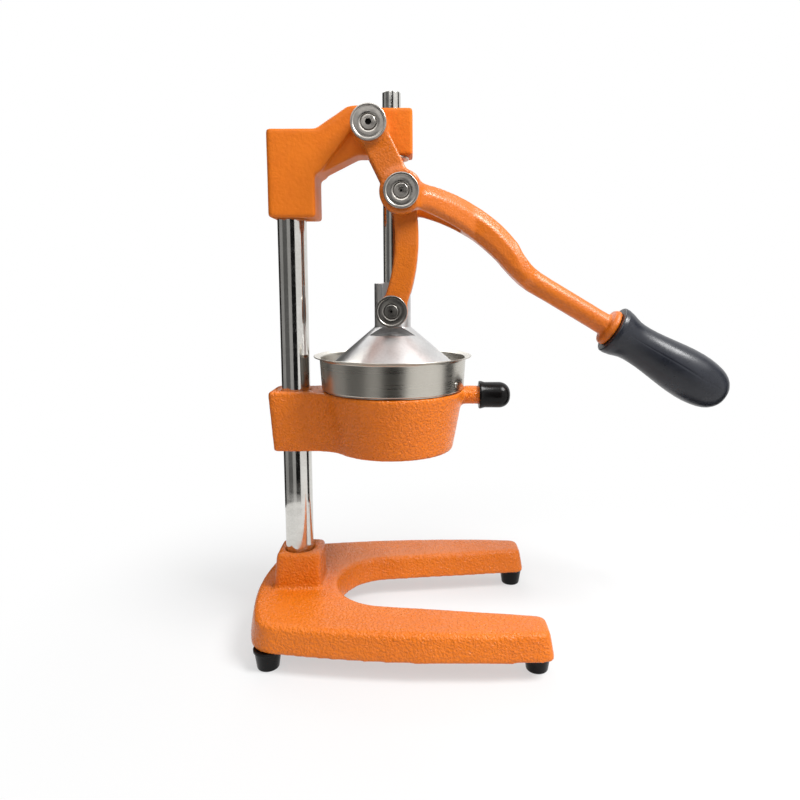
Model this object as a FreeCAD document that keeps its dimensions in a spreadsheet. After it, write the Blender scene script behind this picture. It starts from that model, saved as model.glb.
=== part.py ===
import FreeCAD, Part
import math
import os
import re
import Sketcher

# Lever citrus juice press, in millimetres, standing on the plane z = 0 with +Z up.
# In the sizes, x is measured from the column's axis towards the handle, y from the
# middle plane (away from the viewer is positive) and z from the floor.
# Every piece is placed so that the origin is under the middle of the whole press.

SIZES = {
    # Fits between pieces, all radial or per face
    "seat_gap": 0.1,
    "running_gap": 0.05,
    "side_gap": 0.4,
    "lift_gap": 0.4,
    "thread_gap": 0.1,
    # Cast base, a U open towards the handle
    "foot_rise": 14.3,
    "slab_thickness": 19.2,
    "base_draft": 9.5,
    "base_rear_x": -33.2,
    "base_corner_x": -20.5,
    "base_corner_y": 71.4,
    "base_side_bulge": 7.4,
    "base_tip_x": 182.2,
    "base_tip_y": 83.4,
    "base_corner_radius": 22.0,
    "base_tip_radius": 6.0,
    "base_edge_radius": 2.2,
    "gap_apex_x": 32.1,
    "gap_radius": 37.7,
    "gap_flare": 7.2,
    # Pedestal that carries the column
    "pedestal_height": 27.1,
    "pedestal_rear": 15.3,
    "pedestal_front": 17.6,
    "pedestal_half_width": 16.2,
    "pedestal_flare": 2.6,
    "pedestal_corner_radius": 3.0,
    "mouth_chamfer": 1.2,
    "column_socket_depth": 38.0,
    # Rubber feet
    "foot_radius": 9.0,
    "foot_toe_radius": 7.6,
    "foot_flange_radius": 10.0,
    "foot_flange_height": 2.0,
    "foot_front_x": 172.5,
    "foot_rear_x": -11.5,
    "foot_tip_y": 66.0,
    "foot_heel_y": 63.5,
    "foot_screw_radius": 2.5,
    "foot_screw_head_radius": 4.6,
    "foot_screw_head_height": 2.8,
    "foot_screw_recess": 4.5,
    "foot_screw_reach": 9.0,
    # Column
    "column_radius": 10.5,
    "column_chamfer": 1.0,
    "column_bolt_radius": 5.0,
    "column_bolt_head_radius": 8.0,
    "column_bolt_head_height": 6.4,
    "column_bolt_bite": 18.0,
    "column_washer_radius": 10.5,
    "column_washer_thickness": 2.0,
    # Cast head: block on the column, slanted arm and thin nose round the ram
    "head_rear_x": -14.0,
    "head_front_x": 19.5,
    "head_half_depth": 17.0,
    "head_bottom_z": 307.2,
    "head_block_top_z": 367.2,
    "head_socket_depth": 54.0,
    "head_corner_radius": 3.0,
    "arm_under_start_z": 336.2,
    "arm_under_end_x": 48.5,
    "arm_top_end_x": 42.5,
    "nose_bottom_z": 350.5,
    "nose_top_z": 382.4,
    "nose_front_x": 87.4,
    "nose_half_depth": 11.2,
    "shoulder_low_x": 20.5,
    "shoulder_drop": 3.0,
    "shoulder_high_x": 55.9,
    "shoulder_run": 5.6,
    "pivot_boss_radius": 11.0,
    # Ram guide
    "ram_x": 72.5,
    "rod_radius": 6.5,
    "rod_top_z": 395.0,
    "rod_chamfer": 1.0,
    "bush_wall": 1.4,
    "bush_flange_radius": 12.2,
    "bush_flange_thickness": 1.6,
    # Lever linkage
    "pivot_x": 58.5,
    "pivot_z": 366.7,
    "crank_length": 48.9,
    "crank_angle": 26.1,
    "link_length": 81.55,
    "pin_radius": 4.5,
    "pin_head_radius": 7.0,
    "pin_head_thickness": 1.5,
    "cap_radius": 12.0,
    "cap_thickness": 3.4,
    "cap_rim": 0.6,
    "cap_bore_radius": 5.6,
    "cap_bore_depth": 2.2,
    "cap_screw_radius": 4.9,
    "cap_screw_head_height": 2.0,
    "cap_screw_shank_radius": 2.5,
    "cap_screw_shank_length": 9.0,
    "cap_screw_socket_radius": 2.2,
    "cap_screw_socket_depth": 1.4,
    # Lever casting
    "ear_thickness": 10.8,
    "ear_boss_rise": 1.5,
    "ear_bar_width": 19.5,
    "ear_top_radius": 12.6,
    "ear_elbow_radius": 15.1,
    "arm_half_depth": 10.0,
    "arm_root_angle": 5.0,
    "arm_root_half": 8.0,
    "arm_knee_run": 77.0,
    "arm_knee_drop": 39.8,
    "arm_knee_angle": 46.5,
    "arm_knee_half": 9.6,
    "arm_run": 95.4,
    "arm_drop": 59.9,
    "handle_angle": 30.5,
    "arm_end_half": 8.2,
    "arm_top_bulge": 10.6,
    "arm_under_bulge": 6.2,
    "arm_top_hollow": 2.0,
    "arm_under_hollow": 0.8,
    "yoke_start": 12.0,
    "yoke_start_y": 29.0,
    "yoke_length": 40.0,
    "crotch_length": 30.0,
    "bar_length": 68.7,
    "bar_radius": 8.0,
    "collar_radius": 14.0,
    "collar_thickness": 3.2,
    "collar_flare": 12.0,
    "tang_radius": 6.0,
    "tang_length": 62.0,
    # Rubber grip
    "grip_length": 99.0,
    "grip_mouth_radius": 18.2,
    "grip_mouth_length": 8.0,
    "grip_neck_radius": 14.8,
    "grip_neck_at": 22.0,
    "grip_swell_radius": 18.8,
    "grip_swell_at": 68.0,
    "grip_shoulder_radius": 15.6,
    "grip_shoulder_at": 90.0,
    # Links
    "link_thickness": 8.0,
    "link_width": 16.6,
    "link_bulge": 6.6,
    "link_upper_eye_radius": 13.0,
    "link_lower_eye_radius": 11.6,
    "link_cap_radius": 11.3,
    # Press cup
    "hub_radius": 13.3,
    "hub_top_z": 261.7,
    "hub_shelf_drop": 17.6,
    "hub_shelf_reach": 30.0,
    "hub_socket_depth": 12.6,
    "cone_top_z": 229.8,
    "cone_half_angle": 49.9,
    "cup_radius": 48.0,
    "cup_skirt": 3.2,
    "cup_wall": 4.0,
    "cup_rib_width": 2.4,
    "cup_rib_rise": 2.0,
    "cup_rib_inner": 12.0,
    "cup_rib_outer": 41.0,
    "hub_grub_radius": 2.5,
    "hub_grub_drop": 4.6,
    # Bowl holder
    "holder_top_z": 183.3,
    "holder_height": 44.6,
    "holder_top_rear_x": -18.0,
    "holder_foot_rear_x": -15.0,
    "holder_top_half": 17.6,
    "holder_foot_half": 15.8,
    "ring_top_radius": 52.8,
    "ring_foot_radius": 44.5,
    "neck_radius": 26.0,
    "ring_wall": 5.6,
    "stub_radius": 7.0,
    "stub_z": 178.8,
    "stub_end_x": 152.0,
    "stub_cap_start_x": 136.6,
    "stub_cap_end_x": 160.1,
    "stub_cap_wall": 2.6,
    "stub_cap_mouth_rise": 0.8,
    "stub_cap_mouth_length": 4.0,
    "stub_cap_round": 6.0,
    # Set screws that clamp the head and the holder on the column
    "set_screw_radius": 3.0,
    "set_screw_socket_radius": 1.6,
    "set_screw_socket_depth": 1.8,
    "head_screw_inset": 15.0,
    "holder_screw_inset": 12.0,
    # Sheet steel bowl and funnel
    "sheet": 1.0,
    "bowl_foot_radius": 51.8,
    "bowl_wall_radius": 53.9,
    "bowl_rim_radius": 58.2,
    "bowl_height": 24.8,
    "bowl_lip_height": 2.4,
    "bowl_floor_rise": 1.2,
    "bowl_floor_hole_radius": 24.0,
    "slot_inner_radius": 41.0,
    "slot_outer_radius": 48.5,
    "slot_width": 2.4,
    "slot_count": 24,
    "funnel_flange_radius": 50.8,
    "funnel_mouth_radius": 44.8,
    "funnel_knee_drop": 17.0,
    "funnel_knee_radius": 40.0,
    "funnel_neck_drop": 38.0,
    "funnel_neck_radius": 9.5,
    "funnel_spout_drop": 51.0,
    "rivet_head_radius": 1.9,
    "rivet_head_height": 0.8,
    "rivet_shank_radius": 1.2,
    "rivet_z_rise": 6.0,
    "rivet_azimuth": -31.0,
    # Reamer
    "reamer_base_radius": 38.0,
    "reamer_base_height": 2.4,
    "reamer_dome_radius": 30.0,
    "reamer_dome_bulge": 5.0,
    "reamer_tip_radius": 5.0,
    "reamer_tip_rise": 1.6,
    "reamer_rib_width": 3.0,
    "reamer_rib_rise": 2.2,
    "reamer_rib_count": 8,
    "reamer_stem_height": 3.0,
    "cup_rib_count": 12,
}

# Sizes that follow from the ones above
DERIVED = {
    "slab_top_z": "foot_rise + slab_thickness",
    "pedestal_top_z": "slab_top_z + pedestal_height",
    "gap_centre_x": "gap_apex_x + gap_radius",
    "gap_tangent_x": "gap_centre_x - gap_radius * sin(gap_flare)",
    "gap_tangent_y": "gap_radius * cos(gap_flare)",
    "gap_tip_y": "gap_tangent_y + (base_tip_x - gap_tangent_x) * tan(gap_flare)",
    "column_bottom_z": "pedestal_top_z - column_socket_depth",
    "column_top_z": "head_bottom_z + head_socket_depth - side_gap",
    "nose_bore_radius": "rod_radius + running_gap + bush_wall + seat_gap",
    "elbow_x": "pivot_x + crank_length * sin(crank_angle)",
    "elbow_z": "pivot_z - crank_length * cos(crank_angle)",
    "wrist_z": "elbow_z - sqrt(link_length ^ 2 - (elbow_x - ram_x) ^ 2)",
    "hub_half_flat": "nose_half_depth + 0.5 * side_gap",
    "link_inner_y": "hub_half_flat + side_gap",
    "link_outer_y": "link_inner_y + link_thickness",
    "ear_inner_y": "link_outer_y + side_gap",
    "ear_outer_y": "ear_inner_y + ear_thickness",
    "ear_face_y": "ear_outer_y + ear_boss_rise",
    "boss_half_depth": "ear_inner_y - side_gap",
    "knee_x": "elbow_x + arm_knee_run",
    "knee_z": "elbow_z - arm_knee_drop",
    "bar_x": "elbow_x + arm_run",
    "bar_z": "elbow_z - arm_drop",
    "collar_x": "bar_x + bar_length * cos(handle_angle)",
    "collar_z": "bar_z - bar_length * sin(handle_angle)",
    "grip_end_length": "grip_length - grip_shoulder_at",
    "grip_end_radius": "(grip_shoulder_radius ^ 2 + grip_end_length ^ 2) / (2 * grip_end_length)",
    "grip_end_x": "collar_x + grip_length * cos(handle_angle) + 3.9",
    "centre_x": "0.5 * (base_rear_x + grip_end_x)",
    "yoke_start_x": "elbow_x + yoke_start",
    "yoke_end_x": "yoke_start_x + yoke_length",
    "slot_start_x": "elbow_x + link_upper_eye_radius + side_gap",
    "crotch_x": "yoke_start_x + crotch_length",
    "cone_slope": "tan(cone_half_angle)",
    "cup_shoulder_z": "cone_top_z - (cup_radius - hub_radius) / cone_slope",
    "cup_rim_z": "cup_shoulder_z - cup_skirt",
    "cup_wall_drop": "cup_wall / sin(cone_half_angle)",
    "cup_apex_z": "cone_top_z + hub_radius / cone_slope - cup_wall_drop",
    "hub_shelf_z": "wrist_z - hub_shelf_drop",
    "cup_inside_top_z": "hub_shelf_z - cup_wall",
    "cup_flat_radius": "(cup_apex_z - cup_inside_top_z) * cone_slope",
    "cup_inner_radius": "cup_radius - 0.8 * cup_wall",
    "rod_bottom_z": "hub_top_z - hub_socket_depth",
    "holder_foot_z": "holder_top_z - holder_height",
    "bowl_bottom_z": "holder_top_z + sheet",
    "bowl_rim_z": "bowl_bottom_z + bowl_height",
    "bowl_floor_z": "bowl_bottom_z + bowl_floor_rise",
    "reamer_foot_z": "bowl_floor_z + sheet",
    "reamer_deck_z": "reamer_foot_z + reamer_base_height",
    "reamer_tip_z": "cup_inside_top_z - lift_gap",
    "foot_head_z": "foot_screw_recess + foot_screw_head_height",
    "washer_seat_z": "column_bottom_z - 6",
}


# Where the feet stand
FOOT_PLACES = {
    "foot_front_left": ("foot_front_x", "-foot_tip_y"),
    "foot_front_right": ("foot_front_x", "foot_tip_y"),
    "foot_rear_left": ("foot_rear_x", "-foot_heel_y"),
    "foot_rear_right": ("foot_rear_x", "foot_heel_y"),
}

# The two faces that carry pins, caps and screws
FRONT = (0, -1, 0)
BACK = (0, 1, 0)


class Press:
    """The document, its sheet of sizes and the bodies that read from it."""

    def __init__(self):
        self.doc = FreeCAD.newDocument("citrus_press")
        self.sheet = self.doc.addObject("Spreadsheet::Sheet", "Sizes")
        self.names = list(SIZES) + list(DERIVED)
        row = 0
        for name, value in SIZES.items():
            row += 1
            self.sheet.set("A%d" % row, repr(value))
            self.sheet.setAlias("A%d" % row, name)
        for name, formula in DERIVED.items():
            row += 1
            self.sheet.set("A%d" % row, "=" + formula)
            self.sheet.setAlias("A%d" % row, name)
        self.doc.recompute()
        self.parts = []

    def bound(self, text):
        """The expression with each size name written as a reference to the sheet."""
        def refer(match):
            word = match.group()
            return "Sizes." + word if word in self.names else word
        return re.sub(r"[a-z][a-z0-9_]*", refer, text)

    def value(self, text):
        """The number that an expression of size names stands for."""
        return float(self.sheet.evalExpression(text))

    def add(self, item, label):
        """Note a finished piece under the name that its file takes."""
        item.Label = label
        self.parts.append(item)
        return item

    def bind(self, item, **settings):
        """Bind properties of an object to expressions of size names."""
        for key, text in settings.items():
            item.setExpression(key, self.bound(text))

    def place(self, item, x="0", y="0", z="0", axis=None, angle="0"):
        """Put an object at (x, y, z) in the press's own sizes, turned about an axis."""
        if axis is not None:
            turn = FreeCAD.Rotation(FreeCAD.Vector(*axis), self.value(angle))
            item.Placement = FreeCAD.Placement(FreeCAD.Vector(0, 0, 0), turn)
            item.setExpression(".Placement.Rotation.Angle", self.bound(angle))
        item.setExpression(".Placement.Base.x", self.bound("(%s) - centre_x" % x))
        item.setExpression(".Placement.Base.y", self.bound(y))
        item.setExpression(".Placement.Base.z", self.bound(z))
        return item

    def body(self, name):
        """A new, empty body."""
        return self.doc.addObject("PartDesign::Body", name + "_body")

    def sketch(self, body, role, name, lift="0"):
        """A sketch on one of the body's own planes, lifted along its normal."""
        sketch = body.newObject("Sketcher::SketchObject", name)
        plane = [item for item in body.Origin.OriginFeatures if item.Role == role][0]
        sketch.AttachmentSupport = (plane, [""])
        sketch.MapMode = "FlatFace"
        sketch.setExpression(".AttachmentOffset.Base.z", self.bound(lift))
        return sketch

    def outline(self, sketch, corners):
        """Draw a closed outline. A corner is (x, y) or (x, y, radius), where radius belongs
        to the arc that leaves the corner, positive when the arc turns left."""
        spots = [FreeCAD.Vector(self.value(c[0]), self.value(c[1]), 0) for c in corners]
        ends = []
        for number, corner in enumerate(corners):
            first = spots[number]
            last = spots[(number + 1) % len(corners)]
            if len(corner) == 2:
                index = sketch.addGeometry(Part.LineSegment(first, last), False)
                ends.append((index, 1, 2))
                continue
            radius = self.value(corner[2])
            curve, forward = arc_between(first, last, radius)
            index = sketch.addGeometry(curve, False)
            ends.append((index, 1, 2) if forward else (index, 2, 1))
            mark = sketch.addConstraint(Sketcher.Constraint("Radius", index, abs(radius)))
            size = corner[2] if radius > 0 else "-(%s)" % corner[2]
            sketch.setExpression("Constraints[%d]" % mark, self.bound(size))
        for number in range(len(corners)):
            here = ends[number]
            after = ends[(number + 1) % len(ends)]
            sketch.addConstraint(Sketcher.Constraint("Coincident", here[0], here[2], after[0], after[1]))
        for number, corner in enumerate(corners):
            index, start, _ = ends[number]
            self.fix(sketch, index, start, corner[0], corner[1])
        return sketch

    def circle(self, sketch, x, y, radius):
        """Draw a circle about (x, y)."""
        centre = FreeCAD.Vector(self.value(x), self.value(y), 0)
        shape = Part.Circle(centre, FreeCAD.Vector(0, 0, 1), self.value(radius))
        index = sketch.addGeometry(shape, False)
        mark = sketch.addConstraint(Sketcher.Constraint("Radius", index, self.value(radius)))
        sketch.setExpression("Constraints[%d]" % mark, self.bound(radius))
        self.fix(sketch, index, 3, x, y)
        return sketch

    def fix(self, sketch, index, point, x, y):
        """Hold a point of a sketch at (x, y)."""
        for kind, text in (("DistanceX", x), ("DistanceY", y)):
            mark = sketch.addConstraint(Sketcher.Constraint(kind, index, point, self.value(text)))
            sketch.setExpression("Constraints[%d]" % mark, self.bound(text))

    def pad(self, body, sketch, name, length, middle=False, reverse=False, taper=None):
        """Raise a sketch into a solid."""
        pad = body.newObject("PartDesign::Pad", name)
        pad.Profile = sketch
        pad.Midplane = middle
        pad.Reversed = reverse
        self.bind(pad, Length=length)
        if taper is not None:
            self.bind(pad, TaperAngle=taper)
        return pad

    def pocket(self, body, sketch, name, length, middle=False, reverse=False):
        """Cut a sketch out of the body."""
        pocket = body.newObject("PartDesign::Pocket", name)
        pocket.Profile = sketch
        pocket.Midplane = middle
        pocket.Reversed = reverse
        self.bind(pocket, Length=length)
        return pocket

    def revolve(self, body, sketch, name, axis="V_Axis", cut=False):
        """Turn a sketch about one of its own axes, as material or as a groove."""
        kind = "PartDesign::Groove" if cut else "PartDesign::Revolution"
        turned = body.newObject(kind, name)
        turned.Profile = sketch
        turned.ReferenceAxis = (sketch, [axis])
        turned.Angle = 360
        return turned

    def aim(self, item, spot, direction):
        """Put an object at a spot with its own Z axis along a direction."""
        turn = FreeCAD.Rotation(FreeCAD.Vector(0, 0, 1), FreeCAD.Vector(*direction))
        item.Placement = FreeCAD.Placement(FreeCAD.Vector(0, 0, 0), turn)
        return self.place(item, *spot)

    def cylinder(self, name, radius, height):
        """A plain cylinder standing on its own origin."""
        item = self.doc.addObject("Part::Cylinder", name)
        self.bind(item, Radius=radius, Height=height)
        return item

    def prism(self, name, radius, height):
        """A six-sided prism standing on its own origin."""
        item = self.doc.addObject("Part::Prism", name)
        item.Polygon = 6
        self.bind(item, Circumradius=radius, Height=height)
        return item

    def join(self, kind, name, base, tool):
        """A boolean of two objects, Fuse or Cut."""
        item = self.doc.addObject("Part::" + kind, name)
        item.Base = base
        item.Tool = tool
        return item

    def screw(self, name, head, shank, socket):
        """A socket screw whose head stands on its origin; each size pair is (radius, length)."""
        cap = self.cylinder(name + "_head", *head)
        stem = self.cylinder(name + "_shank", *shank)
        self.bind(stem, **{"Placement.Base.z": "-(%s)" % shank[1]})
        solid = self.join("Fuse", name + "_blank", cap, stem)
        key = self.prism(name + "_key", *socket)
        self.bind(key, **{"Placement.Base.z": "%s - %s" % (head[1], socket[1])})
        return self.join("Cut", name, solid, key)

    def group(self, label, items):
        """Several like pieces kept as one sub-part of separate solids."""
        bundle = self.doc.addObject("Part::Compound", label + "_group")
        bundle.Links = items
        return self.add(bundle, label)

    def around(self, body, feature, name, count):
        """Repeat a feature evenly about the body's Z axis."""
        pattern = body.newObject("PartDesign::PolarPattern", name)
        pattern.Originals = [feature]
        axis = [item for item in body.Origin.OriginFeatures if item.Role == "Z_Axis"][0]
        pattern.Axis = (axis, [""])
        pattern.Angle = 360
        self.bind(pattern, Occurrences=count)
        return pattern

    def turned(self, name, corners):
        """A body of revolution about its own Z axis; corners are (radius, height)."""
        body = self.body(name)
        sketch = self.outline(self.sketch(body, "XZ_Plane", name + "_profile"), corners)
        self.revolve(body, sketch, name + "_turning")
        return body

    def round_edges(self, body, base, name, radius, test, kind="PartDesign::Fillet"):
        """Round or chamfer the edges of a feature whose middle point passes the test."""
        self.doc.recompute()
        chosen = []
        for number, edge in enumerate(base.Shape.Edges, 1):
            middle = edge.valueAt(0.5 * (edge.FirstParameter + edge.LastParameter))
            if test(edge, middle):
                chosen.append("Edge%d" % number)
        feature = body.newObject(kind, name)
        feature.Base = (base, chosen)
        if kind == "PartDesign::Fillet":
            self.bind(feature, Radius=radius)
        else:
            self.bind(feature, Size=radius)
        return feature


def arc_between(first, last, radius):
    """The arc of under half a turn from one point to another, and whether it runs forward."""
    chord = last.sub(first)
    half = 0.5 * chord.Length
    rise = math.sqrt(radius * radius - half * half)
    left = FreeCAD.Vector(-chord.y, chord.x, 0).normalize()
    side = 1 if radius > 0 else -1
    centre = first.add(last).multiply(0.5).add(left.multiply(side * rise))
    start = math.atan2(first.y - centre.y, first.x - centre.x)
    end = math.atan2(last.y - centre.y, last.x - centre.x)
    circle = Part.Circle(centre, FreeCAD.Vector(0, 0, 1), abs(radius))
    if radius > 0:
        return Part.ArcOfCircle(circle, start, end), True
    return Part.ArcOfCircle(circle, end, start), False


def bulge_radius(start, end, rise):
    """The radius, as an expression, of an arc over a chord with the given rise."""
    chord = "((%s - (%s)) ^ 2 + (%s - (%s)) ^ 2)" % (end[0], start[0], end[1], start[1])
    return "(%s / 4 + (%s) ^ 2) / (2 * (%s))" % (chord, rise, rise)


def make_base(press):
    """The cast U-shaped base with its pedestal, column socket and screw holes."""
    body = press.body("base_casting")
    rear = ("base_corner_x", "-base_corner_y")
    tip = ("base_tip_x", "-base_tip_y")
    side = bulge_radius(rear, tip, "base_side_bulge")
    corner = ("base_corner_x", "base_corner_y")
    end = bulge_radius(rear, corner, "base_corner_x - base_rear_x")
    plan = press.sketch(body, "XY_Plane", "base_plan", "foot_rise")
    press.outline(plan, [
        rear + (side,),
        tip,
        ("base_tip_x", "-gap_tip_y"),
        ("gap_tangent_x", "-gap_tangent_y", "-gap_radius"),
        ("gap_apex_x", "0", "-gap_radius"),
        ("gap_tangent_x", "gap_tangent_y"),
        ("base_tip_x", "gap_tip_y"),
        ("base_tip_x", "base_tip_y", side),
        corner + (end,),
    ])
    slab = press.pad(body, plan, "base_slab", "slab_thickness", taper="-base_draft")

    low = press.value("foot_rise")
    high = press.value("slab_top_z")
    rear_limit = press.value("base_corner_x + 1.5 * base_corner_radius")
    tip_limit = press.value("base_tip_x - 1.5 * base_tip_radius")

    def upright(edge, middle):
        return low + 1 < middle.z < high - 1

    heel = press.round_edges(body, slab, "base_heel_corners", "base_corner_radius",
                             lambda edge, spot: (upright(edge, spot) and spot.x < rear_limit
                                                 and abs(spot.y) > 50))
    toes = press.round_edges(body, heel, "base_toe_corners", "base_tip_radius",
                             lambda edge, spot: upright(edge, spot) and spot.x > tip_limit)
    brow = press.round_edges(body, toes, "base_top_edge", "base_edge_radius",
                             lambda edge, spot: spot.z > high - 0.01)

    foot = press.sketch(body, "XY_Plane", "pedestal_foot", "slab_top_z - base_edge_radius")
    top = press.sketch(body, "XY_Plane", "pedestal_top", "pedestal_top_z")
    for sketch, grow in ((foot, "pedestal_flare"), (top, "0")):
        press.outline(sketch, [
            ("-pedestal_rear - %s" % grow, "-pedestal_half_width - 0.8 * %s" % grow),
            ("pedestal_front + 0.2 * %s" % grow, "-pedestal_half_width - 0.8 * %s" % grow),
            ("pedestal_front + 0.2 * %s" % grow, "pedestal_half_width + 0.8 * %s" % grow),
            ("-pedestal_rear - %s" % grow, "pedestal_half_width + 0.8 * %s" % grow),
        ])
    pedestal = body.newObject("PartDesign::AdditiveLoft", "pedestal")
    pedestal.Profile = foot
    pedestal.Sections = [top]
    pedestal.Ruled = True

    crown = press.value("pedestal_top_z")
    mouth_width = press.value("2 * (column_radius + seat_gap)")
    posts = press.round_edges(body, pedestal, "pedestal_corners", "pedestal_corner_radius",
                              lambda edge, spot: high + 2 < spot.z < crown - 2 and abs(spot.x) < 30)
    rim = press.round_edges(body, posts, "pedestal_rim", "base_edge_radius",
                            lambda edge, spot: spot.z > crown - 0.01)

    socket = press.circle(press.sketch(body, "XY_Plane", "column_socket_plan", "pedestal_top_z"),
                          "0", "0", "column_radius + seat_gap")
    hole = press.pocket(body, socket, "column_socket", "column_socket_depth")
    bolt = press.circle(press.sketch(body, "XY_Plane", "column_bolt_plan", "foot_rise"),
                        "0", "0", "column_bolt_radius + seat_gap")
    press.pocket(body, bolt, "column_bolt_hole", "slab_thickness", reverse=True)
    recess = press.circle(press.sketch(body, "XY_Plane", "washer_recess_plan", "foot_rise"),
                          "0", "0", "column_washer_radius + seat_gap")
    press.pocket(body, recess, "washer_recess", "washer_seat_z - foot_rise", reverse=True)
    seats = press.sketch(body, "XY_Plane", "foot_screw_plan", "foot_rise")
    for x, y in FOOT_PLACES.values():
        press.circle(seats, x, y, "foot_screw_radius + thread_gap")
    last = press.pocket(body, seats, "foot_screw_holes", "foot_screw_reach + 1", reverse=True)
    mouth = press.round_edges(body, last, "column_mouth", "mouth_chamfer",
                              lambda edge, spot: (spot.z > crown - 0.01
                                                  and abs(edge.BoundBox.XLength - mouth_width) < 0.01),
                              kind="PartDesign::Chamfer")
    body.Tip = mouth
    press.place(body)
    press.add(body, "base_casting")


def make_feet(press):
    """Four rubber feet, each held by a screw whose head is sunk in the rubber."""
    screws = []
    for name, (x, y) in FOOT_PLACES.items():
        foot = press.turned(name, [
            ("foot_screw_radius + seat_gap", "foot_head_z"),
            ("foot_screw_radius + seat_gap", "foot_rise"),
            ("foot_flange_radius", "foot_rise"),
            ("foot_flange_radius", "foot_rise - foot_flange_height"),
            ("foot_radius", "foot_rise - foot_flange_height"),
            ("foot_toe_radius", "0.8"),
            ("foot_toe_radius - 0.8", "0"),
            ("foot_screw_head_radius + seat_gap", "0"),
            ("foot_screw_head_radius + seat_gap", "foot_head_z"),
        ])
        press.place(foot, x, y)
        press.add(foot, name)
        screw = press.screw(name + "_screw",
                            ("foot_screw_head_radius", "foot_screw_head_height"),
                            ("foot_screw_radius", "foot_rise - foot_head_z + foot_screw_reach"),
                            ("0.45 * foot_screw_head_radius", "0.6 * foot_screw_head_height"))
        press.aim(screw, (x, y, "foot_head_z"), (0, 0, -1))
        screws.append(screw)
    press.group("foot_screws", screws)


def make_column(press):
    """The steel column with its clamping bolt and washer under the base."""
    bolt_hole = "column_bolt_radius + thread_gap"
    column = press.turned("column", [
        ("0", "column_bottom_z + column_bolt_bite"),
        (bolt_hole, "column_bottom_z + column_bolt_bite"),
        (bolt_hole, "column_bottom_z"),
        ("column_radius - column_chamfer", "column_bottom_z"),
        ("column_radius", "column_bottom_z + column_chamfer"),
        ("column_radius", "column_top_z - column_chamfer"),
        ("column_radius - column_chamfer", "column_top_z"),
        ("0", "column_top_z"),
    ])
    press.place(column)
    press.add(column, "column")
    washer = press.turned("column_washer", [
        ("column_bolt_radius + seat_gap", "0"),
        ("column_washer_radius", "0"),
        ("column_washer_radius", "column_washer_thickness"),
        ("column_bolt_radius + seat_gap", "column_washer_thickness"),
    ])
    press.place(washer, z="washer_seat_z - column_washer_thickness")
    press.add(washer, "column_washer")
    bolt = press.screw("column_bolt",
                       ("column_bolt_head_radius", "column_bolt_head_height"),
                       ("column_bolt_radius",
                        "column_bottom_z + column_bolt_bite - 2 - washer_seat_z + column_washer_thickness"),
                       ("0.5 * column_bolt_head_radius", "0.6 * column_bolt_head_height"))
    press.aim(bolt, ("0", "0", "washer_seat_z - column_washer_thickness"), (0, 0, -1))
    press.add(bolt, "column_bolt")


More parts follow.
